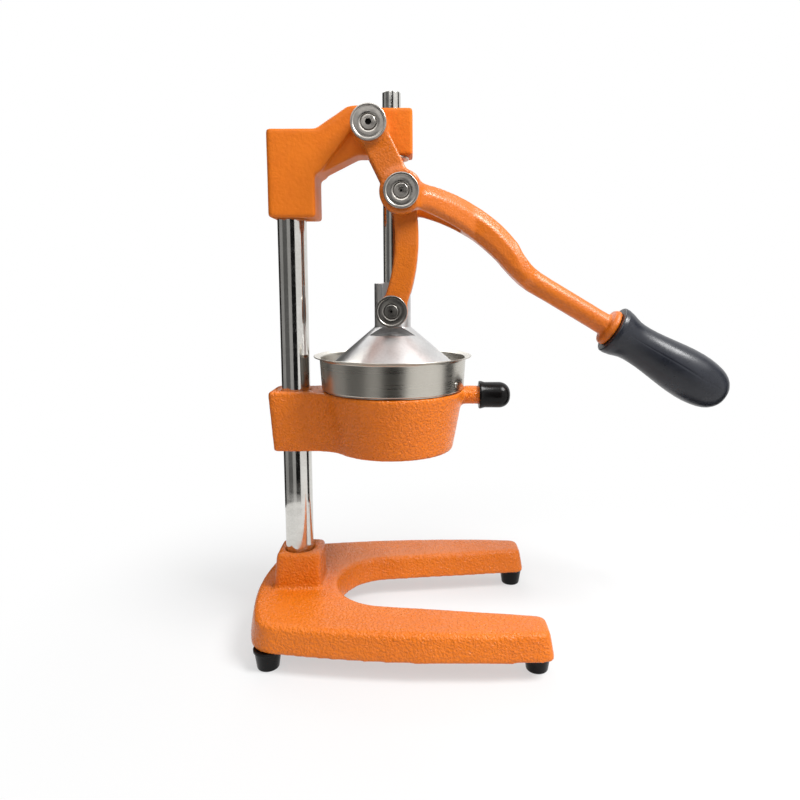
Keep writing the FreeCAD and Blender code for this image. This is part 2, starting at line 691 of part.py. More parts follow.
def make_head(press):
    """The cast head: a block on the column, a slanted arm and a thin nose for the ram."""
    body = press.body("head_casting")
    side = press.outline(press.sketch(body, "XZ_Plane", "head_side"), [
        ("head_rear_x", "head_bottom_z"),
        ("head_front_x", "head_bottom_z"),
        ("head_front_x", "arm_under_start_z"),
        ("arm_under_end_x", "nose_bottom_z"),
        ("nose_front_x", "nose_bottom_z"),
        ("nose_front_x", "nose_top_z"),
        ("arm_top_end_x", "nose_top_z"),
        ("head_front_x", "head_block_top_z"),
        ("head_rear_x", "head_block_top_z"),
    ])
    blank = press.pad(body, side, "head_blank", "2 * nose_half_depth", middle=True)
    under_slope = "(nose_bottom_z - arm_under_start_z) / (arm_under_end_x - head_front_x)"
    low = "(shoulder_low_x + 0.5 * shoulder_run)"
    cheek = press.outline(press.sketch(body, "XZ_Plane", "cheek_side"), [
        ("head_rear_x", "head_bottom_z"),
        ("head_front_x", "head_bottom_z"),
        ("head_front_x", "arm_under_start_z"),
        (low, "arm_under_start_z + (%s - head_front_x) * %s" % (low, under_slope)),
        ("shoulder_high_x + 0.5 * shoulder_run", "nose_top_z"),
        ("arm_top_end_x", "nose_top_z"),
        ("head_front_x", "head_block_top_z"),
        ("head_rear_x", "head_block_top_z"),
    ])
    cheeks = press.pad(body, cheek, "cheeks", "2 * head_half_depth", middle=True)
    rear = press.value("head_rear_x")
    depth = press.value("head_half_depth")

    def post(edge, spot):
        upright = edge.BoundBox.ZLength > 20 and edge.BoundBox.XLength < 0.01 and edge.BoundBox.YLength < 0.01
        return upright and abs(abs(spot.y) - depth) < 0.01 and abs(spot.x - rear) < 0.01

    def brow(edge, spot):
        sloped = edge.BoundBox.ZLength > 10 and edge.BoundBox.XLength > 10 and edge.BoundBox.YLength < 0.01
        return sloped and abs(abs(spot.y) - depth) < 0.01 and spot.z > ledge and spot.x < shoulder

    ledge = press.value("head_block_top_z")
    shoulder = press.value("arm_top_end_x")
    posts = press.round_edges(body, cheeks, "head_posts", "head_corner_radius", post)
    press.round_edges(body, posts, "arm_brow", "shoulder_drop", brow, kind="PartDesign::Chamfer")
    boss = press.circle(press.sketch(body, "XZ_Plane", "pivot_boss_plan"), "pivot_x", "pivot_z",
                        "pivot_boss_radius")
    press.pad(body, boss, "pivot_boss", "2 * boss_half_depth", middle=True)
    socket = press.circle(press.sketch(body, "XY_Plane", "head_socket_plan", "head_bottom_z"),
                          "0", "0", "column_radius + seat_gap")
    press.pocket(body, socket, "head_socket", "head_socket_depth", reverse=True)
    bore = press.circle(press.sketch(body, "XY_Plane", "nose_bore_plan", "nose_top_z"),
                        "ram_x", "0", "nose_bore_radius")
    press.pocket(body, bore, "nose_bore", "nose_top_z - nose_bottom_z")
    eye = press.circle(press.sketch(body, "XZ_Plane", "pivot_bore_plan"), "pivot_x", "pivot_z",
                       "pin_radius + running_gap")
    press.pocket(body, eye, "pivot_bore", "2 * boss_half_depth", middle=True)
    taps = press.sketch(body, "YZ_Plane", "head_screw_plan")
    for height in ("head_bottom_z + head_screw_inset", "head_block_top_z - head_screw_inset"):
        press.circle(taps, "0", height, "set_screw_radius + thread_gap")
    body.Tip = press.pocket(body, taps, "head_screw_holes", "-head_rear_x + 1")
    press.place(body)
    press.add(body, "head_casting")


def make_set_screws(press, label, rear_x, heights):
    """Headless screws that clamp a casting on the column from behind."""
    screws = []
    for number, height in enumerate(heights):
        name = "%s_%d" % (label, number)
        length = "-(%s) - column_radius - 0.2" % rear_x
        blank = press.cylinder(name + "_blank", "set_screw_radius", length)
        key = press.prism(name + "_key", "set_screw_socket_radius", "set_screw_socket_depth")
        screw = press.join("Cut", name, blank, key)
        press.aim(screw, (rear_x, "0", height), (1, 0, 0))
        screws.append(screw)
    press.group(label, screws)


def make_ram(press):
    """The steel ram rod and the flanged bush that guides it in the nose."""
    bush = press.turned("ram_bush", [
        ("rod_radius + running_gap", "nose_bottom_z - bush_flange_thickness"),
        ("bush_flange_radius", "nose_bottom_z - bush_flange_thickness"),
        ("bush_flange_radius", "nose_bottom_z"),
        ("nose_bore_radius - seat_gap", "nose_bottom_z"),
        ("nose_bore_radius - seat_gap", "nose_top_z"),
        ("rod_radius + running_gap", "nose_top_z"),
    ])
    press.place(bush, "ram_x")
    press.add(bush, "ram_bush")
    rod = press.turned("ram_rod", [
        ("0", "rod_bottom_z"),
        ("rod_radius - rod_chamfer", "rod_bottom_z"),
        ("rod_radius", "rod_bottom_z + rod_chamfer"),
        ("rod_radius", "rod_top_z - rod_chamfer"),
        ("rod_radius - rod_chamfer", "rod_top_z"),
        ("0", "rod_top_z"),
    ])
    press.place(rod, "ram_x")
    press.add(rod, "ram_rod")


def make_press_cup(press):
    """The conical press cup whose hub holds the rod and the link pivot."""
    body = press.body("press_cup")
    profile = press.outline(press.sketch(body, "XZ_Plane", "cup_profile"), [
        ("0", "rod_bottom_z - seat_gap"),
        ("rod_radius + seat_gap", "rod_bottom_z - seat_gap"),
        ("rod_radius + seat_gap", "hub_top_z"),
        ("hub_radius - rod_chamfer", "hub_top_z"),
        ("hub_radius", "hub_top_z - rod_chamfer"),
        ("hub_radius", "cone_top_z"),
        ("cup_radius", "cup_shoulder_z"),
        ("cup_radius", "cup_rim_z"),
        ("cup_inner_radius", "cup_rim_z"),
        ("cup_inner_radius", "cup_apex_z - cup_inner_radius / cone_slope"),
        ("cup_flat_radius", "cup_inside_top_z"),
        ("0", "cup_inside_top_z"),
    ])
    press.revolve(body, profile, "cup_turning")
    flats = press.sketch(body, "XY_Plane", "hub_flat_plan", "hub_shelf_z")
    for low, high in (("hub_half_flat", "hub_half_flat + hub_shelf_reach"),
                      ("-hub_half_flat - hub_shelf_reach", "-hub_half_flat")):
        press.outline(flats, [("-hub_shelf_reach", low), ("hub_shelf_reach", low),
                              ("hub_shelf_reach", high), ("-hub_shelf_reach", high)])
    press.pocket(body, flats, "hub_flats", "hub_top_z - hub_shelf_z", reverse=True)
    eye = press.circle(press.sketch(body, "XZ_Plane", "hub_pin_plan"), "0", "wrist_z",
                       "pin_radius + seat_gap")
    press.pocket(body, eye, "hub_pin_bore", "2 * hub_radius", middle=True)
    tap = press.circle(press.sketch(body, "YZ_Plane", "hub_grub_plan"), "0", "hub_top_z - hub_grub_drop",
                       "hub_grub_radius + thread_gap")
    press.pocket(body, tap, "hub_grub_hole", "hub_radius")
    rib = press.outline(press.sketch(body, "XZ_Plane", "cup_rib_side"), [
        ("cup_rib_inner", "cup_inside_top_z - cup_rib_rise"),
        ("cup_flat_radius", "cup_inside_top_z - cup_rib_rise"),
        ("cup_rib_outer", "cup_apex_z - cup_rib_outer / cone_slope - cup_rib_rise"),
        ("cup_rib_outer", "cup_apex_z - cup_rib_outer / cone_slope + 1"),
        ("cup_flat_radius", "cup_inside_top_z + 1"),
        ("cup_rib_inner", "cup_inside_top_z + 1"),
    ])
    blade = press.pad(body, rib, "cup_rib", "cup_rib_width", middle=True)
    body.Tip = press.around(body, blade, "cup_ribs", "cup_rib_count")
    press.place(body, "ram_x")
    press.add(body, "press_cup")

    pin = press.cylinder("hub_pin", "pin_radius", "2 * hub_half_flat")
    press.aim(pin, ("ram_x", "hub_half_flat", "wrist_z"), FRONT)
    press.add(pin, "hub_pin")
    grub = press.cylinder("hub_grub_blank", "hub_grub_radius", "hub_radius - rod_radius - 0.6")
    key = press.prism("hub_grub_key", "0.55 * hub_grub_radius", "0.7 * hub_grub_radius")
    screw = press.join("Cut", "hub_grub_screw_cut", grub, key)
    press.aim(screw, ("ram_x - hub_radius + 0.3", "0", "hub_top_z - hub_grub_drop"), (1, 0, 0))
    press.add(screw, "hub_grub_screw")


def make_holder(press):
    """The cast bracket that carries the bowl: a clamp on the column, a neck and a ring."""
    body = press.body("bowl_holder")
    plans = []
    for level, height, rear, half, ring in (
            ("foot", "holder_foot_z", "holder_foot_rear_x", "holder_foot_half", "ring_foot_radius"),
            ("top", "holder_top_z", "holder_top_rear_x", "holder_top_half", "ring_top_radius")):
        reach = "(%s + neck_radius)" % ring
        back = "sqrt(%s ^ 2 - (%s + neck_radius) ^ 2)" % (reach, half)
        neck_x = "ram_x - %s" % back
        join_x = "ram_x - %s * %s / %s" % (back, ring, reach)
        join_y = "(%s + neck_radius) * %s / %s" % (half, ring, reach)
        plan = press.sketch(body, "XY_Plane", "holder_plan_" + level, height)
        press.outline(plan, [
            (rear + " + head_corner_radius", "-" + half),
            (neck_x, "-" + half, "-neck_radius"),
            (join_x, "-" + join_y, ring),
            ("ram_x + " + ring, "0", ring),
            (join_x, join_y, "-neck_radius"),
            (neck_x, half),
            (rear + " + head_corner_radius", half, "head_corner_radius"),
            (rear, half + " - head_corner_radius"),
            (rear, "head_corner_radius - " + half, "head_corner_radius"),
        ])
        plans.append(plan)
    loft = body.newObject("PartDesign::AdditiveLoft", "holder_blank")
    loft.Profile = plans[0]
    loft.Sections = [plans[1]]
    loft.Ruled = True
    stub = press.circle(press.sketch(body, "YZ_Plane", "stub_plan", "ram_x + ring_foot_radius"),
                        "0", "stub_z", "stub_radius")
    press.pad(body, stub, "stub", "stub_end_x - ram_x - ring_foot_radius")
    seat = press.circle(press.sketch(body, "XY_Plane", "bowl_seat_plan", "holder_top_z"),
                        "ram_x", "0", "ring_top_radius")
    press.pocket(body, seat, "bowl_seat", "stub_radius + stub_z - holder_top_z + 1", reverse=True)
    column = press.circle(press.sketch(body, "XY_Plane", "holder_bore_plan", "holder_top_z"),
                          "0", "0", "column_radius + seat_gap")
    press.pocket(body, column, "holder_bore", "holder_height")
    taps = press.circle(press.sketch(body, "YZ_Plane", "holder_screw_plan"), "0",
                        "holder_foot_z + holder_screw_inset", "set_screw_radius + thread_gap")
    press.circle(taps, "0", "holder_top_z - holder_screw_inset", "set_screw_radius + thread_gap")
    press.pocket(body, taps, "holder_screw_holes", "-holder_top_rear_x + 1")
    space = press.sketch(body, "XZ_Plane", "holder_ring_profile")
    space.setExpression(".AttachmentOffset.Base.x", press.bound("ram_x"))
    press.outline(space, [
        ("0", "holder_foot_z - 1"),
        ("ring_foot_radius - ring_wall", "holder_foot_z - 1"),
        ("ring_foot_radius - ring_wall", "holder_foot_z"),
        ("ring_top_radius - ring_wall", "holder_top_z"),
        ("ring_top_radius - ring_wall", "holder_top_z + 1"),
        ("0", "holder_top_z + 1"),
    ])
    body.Tip = press.revolve(body, space, "holder_ring", cut=True)
    press.place(body)
    press.add(body, "bowl_holder")

    cap = press.turned("stub_cap", [
        ("0", "stub_end_x - stub_cap_start_x + side_gap"),
        ("stub_radius + seat_gap", "stub_end_x - stub_cap_start_x + side_gap"),
        ("stub_radius + seat_gap", "0"),
        ("stub_radius + stub_cap_wall + stub_cap_mouth_rise", "0"),
        ("stub_radius + stub_cap_wall + stub_cap_mouth_rise", "1.2"),
        ("stub_radius + stub_cap_wall", "stub_cap_mouth_length"),
        ("stub_radius + stub_cap_wall", "stub_cap_end_x - stub_cap_start_x - stub_cap_round",
         "stub_cap_round"),
        ("stub_radius + stub_cap_wall - stub_cap_round", "stub_cap_end_x - stub_cap_start_x"),
        ("0", "stub_cap_end_x - stub_cap_start_x"),
    ])
    press.aim(cap, ("stub_cap_start_x", "0", "stub_z"), (1, 0, 0))
    press.add(cap, "stub_cap")


def make_funnel(press):
    """The sheet steel funnel that lies on the ring and leads the juice down."""
    top = "holder_top_z"
    funnel = press.turned("juice_funnel", [
        ("funnel_flange_radius", top),
        ("funnel_flange_radius", top + " + sheet"),
        ("funnel_mouth_radius", top + " + sheet"),
        ("funnel_knee_radius", top + " - funnel_knee_drop"),
        ("funnel_neck_radius", top + " - funnel_neck_drop"),
        ("funnel_neck_radius", top + " - funnel_spout_drop"),
        ("funnel_neck_radius + sheet", top + " - funnel_spout_drop"),
        ("funnel_neck_radius + sheet", top + " - funnel_neck_drop - 0.4 * sheet"),
        ("funnel_knee_radius + sheet", top + " - funnel_knee_drop - 0.8 * sheet"),
        ("funnel_mouth_radius + sheet", top),
    ])
    press.place(funnel, "ram_x")
    press.add(funnel, "juice_funnel")


def make_bowl(press):
    """The sheet steel strainer bowl with its flared lip, slotted floor and rivets."""
    body = press.body("strainer_bowl")
    wall_top = "bowl_rim_z - bowl_lip_height"
    profile = press.outline(press.sketch(body, "XZ_Plane", "bowl_profile"), [
        ("bowl_floor_hole_radius", "bowl_floor_z"),
        ("bowl_foot_radius - 3 * sheet", "bowl_floor_z"),
        ("bowl_foot_radius - 3 * sheet", "bowl_bottom_z"),
        ("bowl_foot_radius", "bowl_bottom_z"),
        ("bowl_wall_radius", wall_top),
        ("bowl_rim_radius", "bowl_rim_z - sheet"),
        ("bowl_rim_radius", "bowl_rim_z"),
        ("bowl_wall_radius - 0.8 * sheet", wall_top + " + 0.8 * sheet"),
        ("bowl_foot_radius - sheet", "bowl_floor_z + sheet"),
        ("bowl_floor_hole_radius", "bowl_floor_z + sheet"),
    ])
    press.revolve(body, profile, "bowl_turning")
    holes = press.circle(press.sketch(body, "YZ_Plane", "rivet_plan"), "0", "bowl_bottom_z + rivet_z_rise",
                         "rivet_shank_radius + seat_gap")
    press.pocket(body, holes, "rivet_holes", "3 * bowl_rim_radius", middle=True)
    plan = press.outline(press.sketch(body, "XY_Plane", "slot_plan", "bowl_floor_z + sheet"), [
        ("slot_inner_radius", "-0.5 * slot_width"),
        ("slot_outer_radius", "-0.5 * slot_width"),
        ("slot_outer_radius", "0.5 * slot_width"),
        ("slot_inner_radius", "0.5 * slot_width"),
    ])
    slot = press.pocket(body, plan, "floor_slot", "sheet")
    body.Tip = press.around(body, slot, "floor_slots", "slot_count")
    press.place(body, "ram_x", axis=(0, 0, 1), angle="rivet_azimuth + 360")
    press.add(body, "strainer_bowl")

    slope = "(bowl_wall_radius - bowl_foot_radius) / (bowl_height - bowl_lip_height)"
    seat = "(bowl_foot_radius + rivet_z_rise * %s)" % slope
    rivets = []
    for number, turn in enumerate(("rivet_azimuth", "rivet_azimuth + 180")):
        rivet = press.turned("rivet_%d" % number, [
            ("0", "-2.2 * sheet"),
            ("rivet_shank_radius", "-2.2 * sheet"),
            ("rivet_shank_radius", "0.15 * sheet"),
            ("rivet_head_radius", "0.15 * sheet"),
            ("0.6 * rivet_head_radius", "0.15 * sheet + rivet_head_height"),
            ("0", "0.15 * sheet + rivet_head_height"),
        ])
        angle = math.radians(press.value(turn))
        press.aim(rivet, ("ram_x + %s * cos(%s)" % (seat, turn), "%s * sin(%s)" % (seat, turn),
                          "bowl_bottom_z + rivet_z_rise"), (math.cos(angle), math.sin(angle), 0))
        rivets.append(rivet)
    press.group("bowl_rivets", rivets)


def make_reamer(press):
    """The ribbed reamer that stands in the bowl under the press cup."""
    body = press.body("reamer")
    start = ("reamer_dome_radius", "reamer_deck_z")
    end = ("reamer_tip_radius", "reamer_tip_z - reamer_tip_rise")
    profile = press.outline(press.sketch(body, "XZ_Plane", "reamer_profile"), [
        ("0", "reamer_foot_z - reamer_stem_height"),
        ("bowl_floor_hole_radius - seat_gap", "reamer_foot_z - reamer_stem_height"),
        ("bowl_floor_hole_radius - seat_gap", "reamer_foot_z"),
        ("reamer_base_radius", "reamer_foot_z"),
        ("reamer_base_radius", "reamer_deck_z"),
        start + (bulge_radius(start, end, "reamer_dome_bulge"),),
        end,
        ("0", "reamer_tip_z"),
    ])
    press.revolve(body, profile, "reamer_turning")
    rib = press.outline(press.sketch(body, "XZ_Plane", "reamer_rib_side"), [
        ("reamer_tip_radius - 1", "reamer_deck_z - 0.5"),
        ("reamer_dome_radius + reamer_rib_rise", "reamer_deck_z - 0.5"),
        ("reamer_dome_radius + reamer_rib_rise", "reamer_deck_z",
         bulge_radius(start, end, "reamer_dome_bulge")),
        ("reamer_tip_radius + reamer_rib_rise", end[1]),
        ("reamer_tip_radius - 1", end[1]),
    ])
    blade = press.pad(body, rib, "reamer_rib", "reamer_rib_width", middle=True)
    body.Tip = press.around(body, blade, "reamer_ribs", "reamer_rib_count")
    press.place(body, "ram_x")
    press.add(body, "reamer")


def make_lever(press):
    """The cast fork lever, its grip and the pins, caps and screws that turn with it."""
    body = press.body("lever_casting")
    half = "0.5 * ear_bar_width"
    along_x = "sin(crank_angle)"
    along_z = "cos(crank_angle)"
    bar = press.outline(press.sketch(body, "XZ_Plane", "ear_bar_side"), [
        ("pivot_x - %s * %s" % (half, along_z), "pivot_z - %s * %s" % (half, along_x)),
        ("elbow_x - %s * %s" % (half, along_z), "elbow_z - %s * %s" % (half, along_x)),
        ("elbow_x + %s * %s" % (half, along_z), "elbow_z + %s * %s" % (half, along_x)),
        ("pivot_x + %s * %s" % (half, along_z), "pivot_z + %s * %s" % (half, along_x)),
    ])
    press.pad(body, bar, "ear_bars", "2 * ear_outer_y", middle=True)
    top = press.circle(press.sketch(body, "XZ_Plane", "ear_top_plan"), "pivot_x", "pivot_z", "ear_top_radius")
    press.pad(body, top, "ear_tops", "2 * ear_face_y", middle=True)
    elbow = press.circle(press.sketch(body, "XZ_Plane", "ear_elbow_plan"), "elbow_x", "elbow_z",
                         "ear_elbow_radius")
    press.pad(body, elbow, "ear_elbows", "2 * ear_face_y", middle=True)

    def station(angle, x, z, offset):
        return ("%s + (%s) * sin(%s)" % (x, offset, angle), "%s + (%s) * cos(%s)" % (z, offset, angle))

    root = ("arm_root_angle", "elbow_x", "elbow_z")
    knee = ("arm_knee_angle", "knee_x", "knee_z")
    end = ("handle_angle", "bar_x", "bar_z")
    under = [station(*root, "-arm_root_half"), station(*knee, "-arm_knee_half"),
             station(*end, "-arm_end_half")]
    over = [station(*end, "arm_end_half"), station(*knee, "arm_knee_half"),
            station(*root, "arm_root_half")]
    side = press.outline(press.sketch(body, "XZ_Plane", "arm_side"), [
        under[0] + ("-(%s)" % bulge_radius(under[0], under[1], "arm_under_bulge"),),
        under[1] + (bulge_radius(under[1], under[2], "arm_under_hollow"),),
        under[2],
        over[0] + ("-(%s)" % bulge_radius(over[0], over[1], "arm_top_hollow"),),
        over[1] + (bulge_radius(over[1], over[2], "arm_top_bulge"),),
        over[2],
    ])
    press.pad(body, side, "arm_blank", "2 * ear_outer_y", middle=True)
    sides = press.sketch(body, "XY_Plane", "yoke_outside", "elbow_z + 2 * ear_elbow_radius")
    for sign in ("", "-"):
        press.outline(sides, [
            ("yoke_start_x", sign + "(ear_face_y + 1)"),
            ("yoke_start_x", sign + "yoke_start_y"),
            ("yoke_end_x", sign + "arm_half_depth"),
            ("bar_x + 40", sign + "arm_half_depth"),
            ("bar_x + 40", sign + "(ear_face_y + 1)"),
        ])
    press.pocket(body, sides, "yoke_sides", "elbow_z - bar_z + 4 * ear_elbow_radius")
    slot = press.sketch(body, "XY_Plane", "fork_slot_plan", "pivot_z + 2 * ear_top_radius")
    press.outline(slot, [
        ("pivot_x - 2 * ear_top_radius", "-ear_inner_y"),
        ("slot_start_x", "-ear_inner_y"),
        ("crotch_x", "-0.3 * ear_inner_y"),
        ("crotch_x", "0.3 * ear_inner_y"),
        ("slot_start_x", "ear_inner_y"),
        ("pivot_x - 2 * ear_top_radius", "ear_inner_y"),
    ])
    press.pocket(body, slot, "fork_slot", "crank_length + 6 * ear_elbow_radius")

    rod = press.sketch(body, "XZ_Plane", "handle_profile")
    slope = FreeCAD.Rotation(FreeCAD.Vector(0, 0, 1), -press.value("handle_angle"))
    rod.AttachmentOffset = FreeCAD.Placement(FreeCAD.Vector(0, 0, 0), slope)
    rod.setExpression(".AttachmentOffset.Base.x", press.bound("bar_x"))
    rod.setExpression(".AttachmentOffset.Base.y", press.bound("bar_z"))
    press.outline(rod, [
        ("-10", "0"),
        ("bar_length + tang_length", "0"),
        ("bar_length + tang_length", "tang_radius - 1"),
        ("bar_length + tang_length - 1", "tang_radius"),
        ("bar_length", "tang_radius"),
        ("bar_length", "collar_radius"),
        ("bar_length - collar_thickness", "collar_radius"),
        ("bar_length - collar_flare", "bar_radius"),
        ("0", "bar_radius + 0.4"),
        ("-10", "bar_radius - 2"),
    ])
    press.revolve(body, rod, "handle_bar", axis="H_Axis")
    for name, x, z in (("pivot", "pivot_x", "pivot_z"), ("elbow", "elbow_x", "elbow_z")):
        eye = press.circle(press.sketch(body, "XZ_Plane", name + "_eye_plan"), x, z, "pin_radius + seat_gap")
        body.Tip = press.pocket(body, eye, name + "_eyes", "2 * ear_face_y", middle=True)
    press.place(body)
    press.add(body, "lever_casting")

    grip = press.turned("lever_grip", [
        ("0", "tang_length + side_gap"),
        ("tang_radius + seat_gap", "tang_length + side_gap"),
        ("tang_radius + seat_gap", "0"),
        ("grip_mouth_radius - 1", "0"),
        ("grip_mouth_radius", "1"),
        ("grip_mouth_radius - 0.6", "grip_mouth_length"),
        ("grip_neck_radius", "grip_neck_at"),
        ("grip_swell_radius", "grip_swell_at", "60"),
        ("grip_shoulder_radius", "grip_shoulder_at", "grip_end_radius"),
        ("0", "grip_length"),
    ])
    press.place(grip, "collar_x", "0", "collar_z", axis=(0, 1, 0), angle="90 + handle_angle")
    press.add(grip, "lever_grip")

    tap = "cap_screw_shank_radius + thread_gap"
    reach = "cap_screw_shank_length"
    pin = press.turned("head_pivot_pin", [
        ("0", "-ear_face_y + %s" % reach),
        (tap, "-ear_face_y + %s" % reach),
        (tap, "-ear_face_y + side_gap"),
        ("pin_radius", "-ear_face_y + side_gap"),
        ("pin_radius", "ear_face_y - side_gap"),
        (tap, "ear_face_y - side_gap"),
        (tap, "ear_face_y - %s" % reach),
        ("0", "ear_face_y - %s" % reach),
    ])
    press.aim(pin, ("pivot_x", "0", "pivot_z"), FRONT)
    press.add(pin, "head_pivot_pin")
    for side, way in (("front", FRONT), ("rear", BACK)):
        elbow_pin = press.turned("elbow_pin_" + side, [
            ("0", "link_inner_y - seat_gap - pin_head_thickness"),
            ("pin_head_radius", "link_inner_y - seat_gap - pin_head_thickness"),
            ("pin_head_radius", "link_inner_y - seat_gap"),
            ("pin_radius", "link_inner_y - seat_gap"),
            ("pin_radius", "ear_face_y - side_gap"),
            (tap, "ear_face_y - side_gap"),
            (tap, "ear_face_y - %s" % reach),
            ("0", "ear_face_y - %s" % reach),
        ])
        press.aim(elbow_pin, ("elbow_x", "0", "elbow_z"), way)
        press.add(elbow_pin, "elbow_pin_" + side)


def make_cap(press, name, radius, spot, way):
    """A turned cap disc with a sunk seat for its screw."""
    cap = press.turned(name, [
        ("cap_screw_shank_radius + thread_gap", "0"),
        (radius, "0"),
        (radius, "cap_thickness - cap_rim"),
        ("%s - cap_rim" % radius, "cap_thickness"),
        ("cap_bore_radius", "cap_thickness"),
        ("cap_bore_radius", "cap_thickness - cap_bore_depth"),
        ("cap_screw_shank_radius + thread_gap", "cap_thickness - cap_bore_depth"),
    ])
    press.aim(cap, spot, way)
    press.add(cap, name)


def make_caps(press):
    """The six cap discs and their socket screws."""
    for joint, x, z, seat, radius in (
            ("head_pivot", "pivot_x", "pivot_z", "ear_face_y", "cap_radius"),
            ("elbow", "elbow_x", "elbow_z", "ear_face_y", "cap_radius"),
            ("link", "ram_x", "wrist_z", "link_outer_y", "link_cap_radius")):
        screws = []
        for side, sign, way in (("front", "-", FRONT), ("rear", "", BACK)):
            make_cap(press, "%s_cap_%s" % (joint, side), radius, (x, sign + seat, z), way)
            screw = press.screw("%s_screw_%s" % (joint, side),
                                ("cap_screw_radius", "cap_screw_head_height"),
                                ("cap_screw_shank_radius", "cap_screw_shank_length - 2 * side_gap"),
                                ("cap_screw_socket_radius", "cap_screw_socket_depth"))
            level = "%s(%s + cap_thickness - cap_bore_depth)" % (sign, seat)
            press.aim(screw, (x, level, z), way)
            screws.append(screw)
        press.group(joint + "_screws", screws)


def make_links(press):
    """The two curved links between the elbow and the press cup's hub."""
    chord = "link_length"
    radius = "(link_length ^ 2 / 4 + link_bulge ^ 2) / (2 * link_bulge)"
    lean_x = "(elbow_x - ram_x) / link_length"
    lean_z = "(elbow_z - wrist_z) / link_length"
    centre_x = "(0.5 * (elbow_x + ram_x) - (%s - link_bulge) * %s)" % (radius, lean_z)
    centre_z = "(0.5 * (elbow_z + wrist_z) + (%s - link_bulge) * %s)" % (radius, lean_x)

    def edge(x, z, sign):
        grow = "(1 %s 0.5 * link_width / (%s))" % (sign, radius)
        return ("%s + (%s - %s) * %s" % (centre_x, x, centre_x, grow),
                "%s + (%s - %s) * %s" % (centre_z, z, centre_z, grow))

    for side, sign, way in (("front", "", FRONT), ("rear", "-", BACK)):
        name = "link_" + side
        body = press.body(name)
        middle = sign + "(link_inner_y + 0.5 * link_thickness)"
        band = press.sketch(body, "XZ_Plane", name + "_band", middle)
        press.outline(band, [
            edge("ram_x", "wrist_z", "+") + ("(%s) + 0.5 * link_width" % radius,),
            edge("elbow_x", "elbow_z", "+"),
            edge("elbow_x", "elbow_z", "-") + ("-((%s) - 0.5 * link_width)" % radius,),
            edge("ram_x", "wrist_z", "-"),
        ])
        press.pad(body, band, name + "_arm", "link_thickness", middle=True)
        for end, x, z, size in (("top", "elbow_x", "elbow_z", "link_upper_eye_radius"),
                                ("foot", "ram_x", "wrist_z", "link_lower_eye_radius")):
            eye = press.circle(press.sketch(body, "XZ_Plane", "%s_%s" % (name, end), middle), x, z, size)
            press.pad(body, eye, "%s_%s_eye" % (name, end), "link_thickness", middle=True)
        for end, x, z, gap in (("top", "elbow_x", "elbow_z", "running_gap"),
                               ("foot", "ram_x", "wrist_z", "seat_gap")):
            bore = press.circle(press.sketch(body, "XZ_Plane", "%s_%s_hole" % (name, end), middle), x, z,
                                "pin_radius + " + gap)
            body.Tip = press.pocket(body, bore, "%s_%s_bore" % (name, end), "2 * link_thickness", middle=True)
        press.place(body)
        press.add(body, name)
        pin = press.turned("link_pin_" + side, [
            ("0", "link_inner_y"),
            ("pin_radius", "link_inner_y"),
            ("pin_radius", "link_outer_y - seat_gap"),
            ("cap_screw_shank_radius + thread_gap", "link_outer_y - seat_gap"),
            ("cap_screw_shank_radius + thread_gap", "link_inner_y + 1"),
            ("0", "link_inner_y + 1"),
        ])
        press.aim(pin, ("ram_x", "0", "wrist_z"), way)
        press.add(pin, "link_pin_" + side)


def finish(press):
    """Check every object and write each piece to its own file."""
    press.doc.recompute()
    for item in press.doc.Objects:
        for state in item.State:
            if state in ("Invalid", "Error"):
                raise RuntimeError("%s is %s" % (item.Name, state))
    os.makedirs("parts", exist_ok=True)
    for item in press.parts:
        shape = item.Shape
        if shape.isNull() or not shape.isValid() or not shape.Solids:
            raise RuntimeError("%s has no sound shape" % item.Label)
        shape.exportStep("parts/%s.step" % item.Label)
        print("%-20s %2d solid(s) %10.1f mm3" % (item.Label, len(shape.Solids), shape.Volume))


if __name__ == "__main__":
    press = Press()
    make_base(press)
    make_feet(press)
    make_column(press)
    make_head(press)
    make_set_screws(press, "head_set_screws", "head_rear_x",
                    ("head_bottom_z + head_screw_inset", "head_block_top_z - head_screw_inset"))
    make_ram(press)
    make_press_cup(press)
    make_holder(press)
    make_set_screws(press, "holder_set_screws", "holder_foot_rear_x",
                    ("holder_foot_z + holder_screw_inset", "holder_top_z - holder_screw_inset"))
    make_funnel(press)
    make_bowl(press)
    make_reamer(press)
    make_lever(press)
    make_links(press)
    make_caps(press)
    finish(press)
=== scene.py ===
import logging
import math
from dataclasses import dataclass, field
from enum import Enum
from typing import Callable, Sequence

import bmesh
import bpy
import numpy as np
from mathutils import Matrix, Vector


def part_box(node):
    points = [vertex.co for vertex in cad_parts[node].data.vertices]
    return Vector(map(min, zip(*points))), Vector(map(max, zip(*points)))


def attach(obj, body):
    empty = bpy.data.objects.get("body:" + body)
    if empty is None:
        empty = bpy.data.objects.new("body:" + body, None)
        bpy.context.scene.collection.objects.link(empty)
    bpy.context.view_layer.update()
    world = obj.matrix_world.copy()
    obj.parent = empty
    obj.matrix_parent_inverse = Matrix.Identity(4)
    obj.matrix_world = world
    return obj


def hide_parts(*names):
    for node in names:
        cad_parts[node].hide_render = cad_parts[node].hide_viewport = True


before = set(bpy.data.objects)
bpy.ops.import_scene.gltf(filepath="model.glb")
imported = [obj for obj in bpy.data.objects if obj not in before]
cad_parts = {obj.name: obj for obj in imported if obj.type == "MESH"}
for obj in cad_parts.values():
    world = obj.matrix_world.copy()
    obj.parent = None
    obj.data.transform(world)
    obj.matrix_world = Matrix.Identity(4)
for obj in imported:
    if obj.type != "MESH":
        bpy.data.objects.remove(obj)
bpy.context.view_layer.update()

# Lever citrus juice press. Lengths are in metres, x runs from the column towards the
# handle, y from the front face to the rear one and z up from the floor.

LOG = logging.getLogger("citrus_press")
MM = 0.001
QUARTER_TURN = math.radians(90.0)
CRISP_ANGLE = math.radians(35.0)
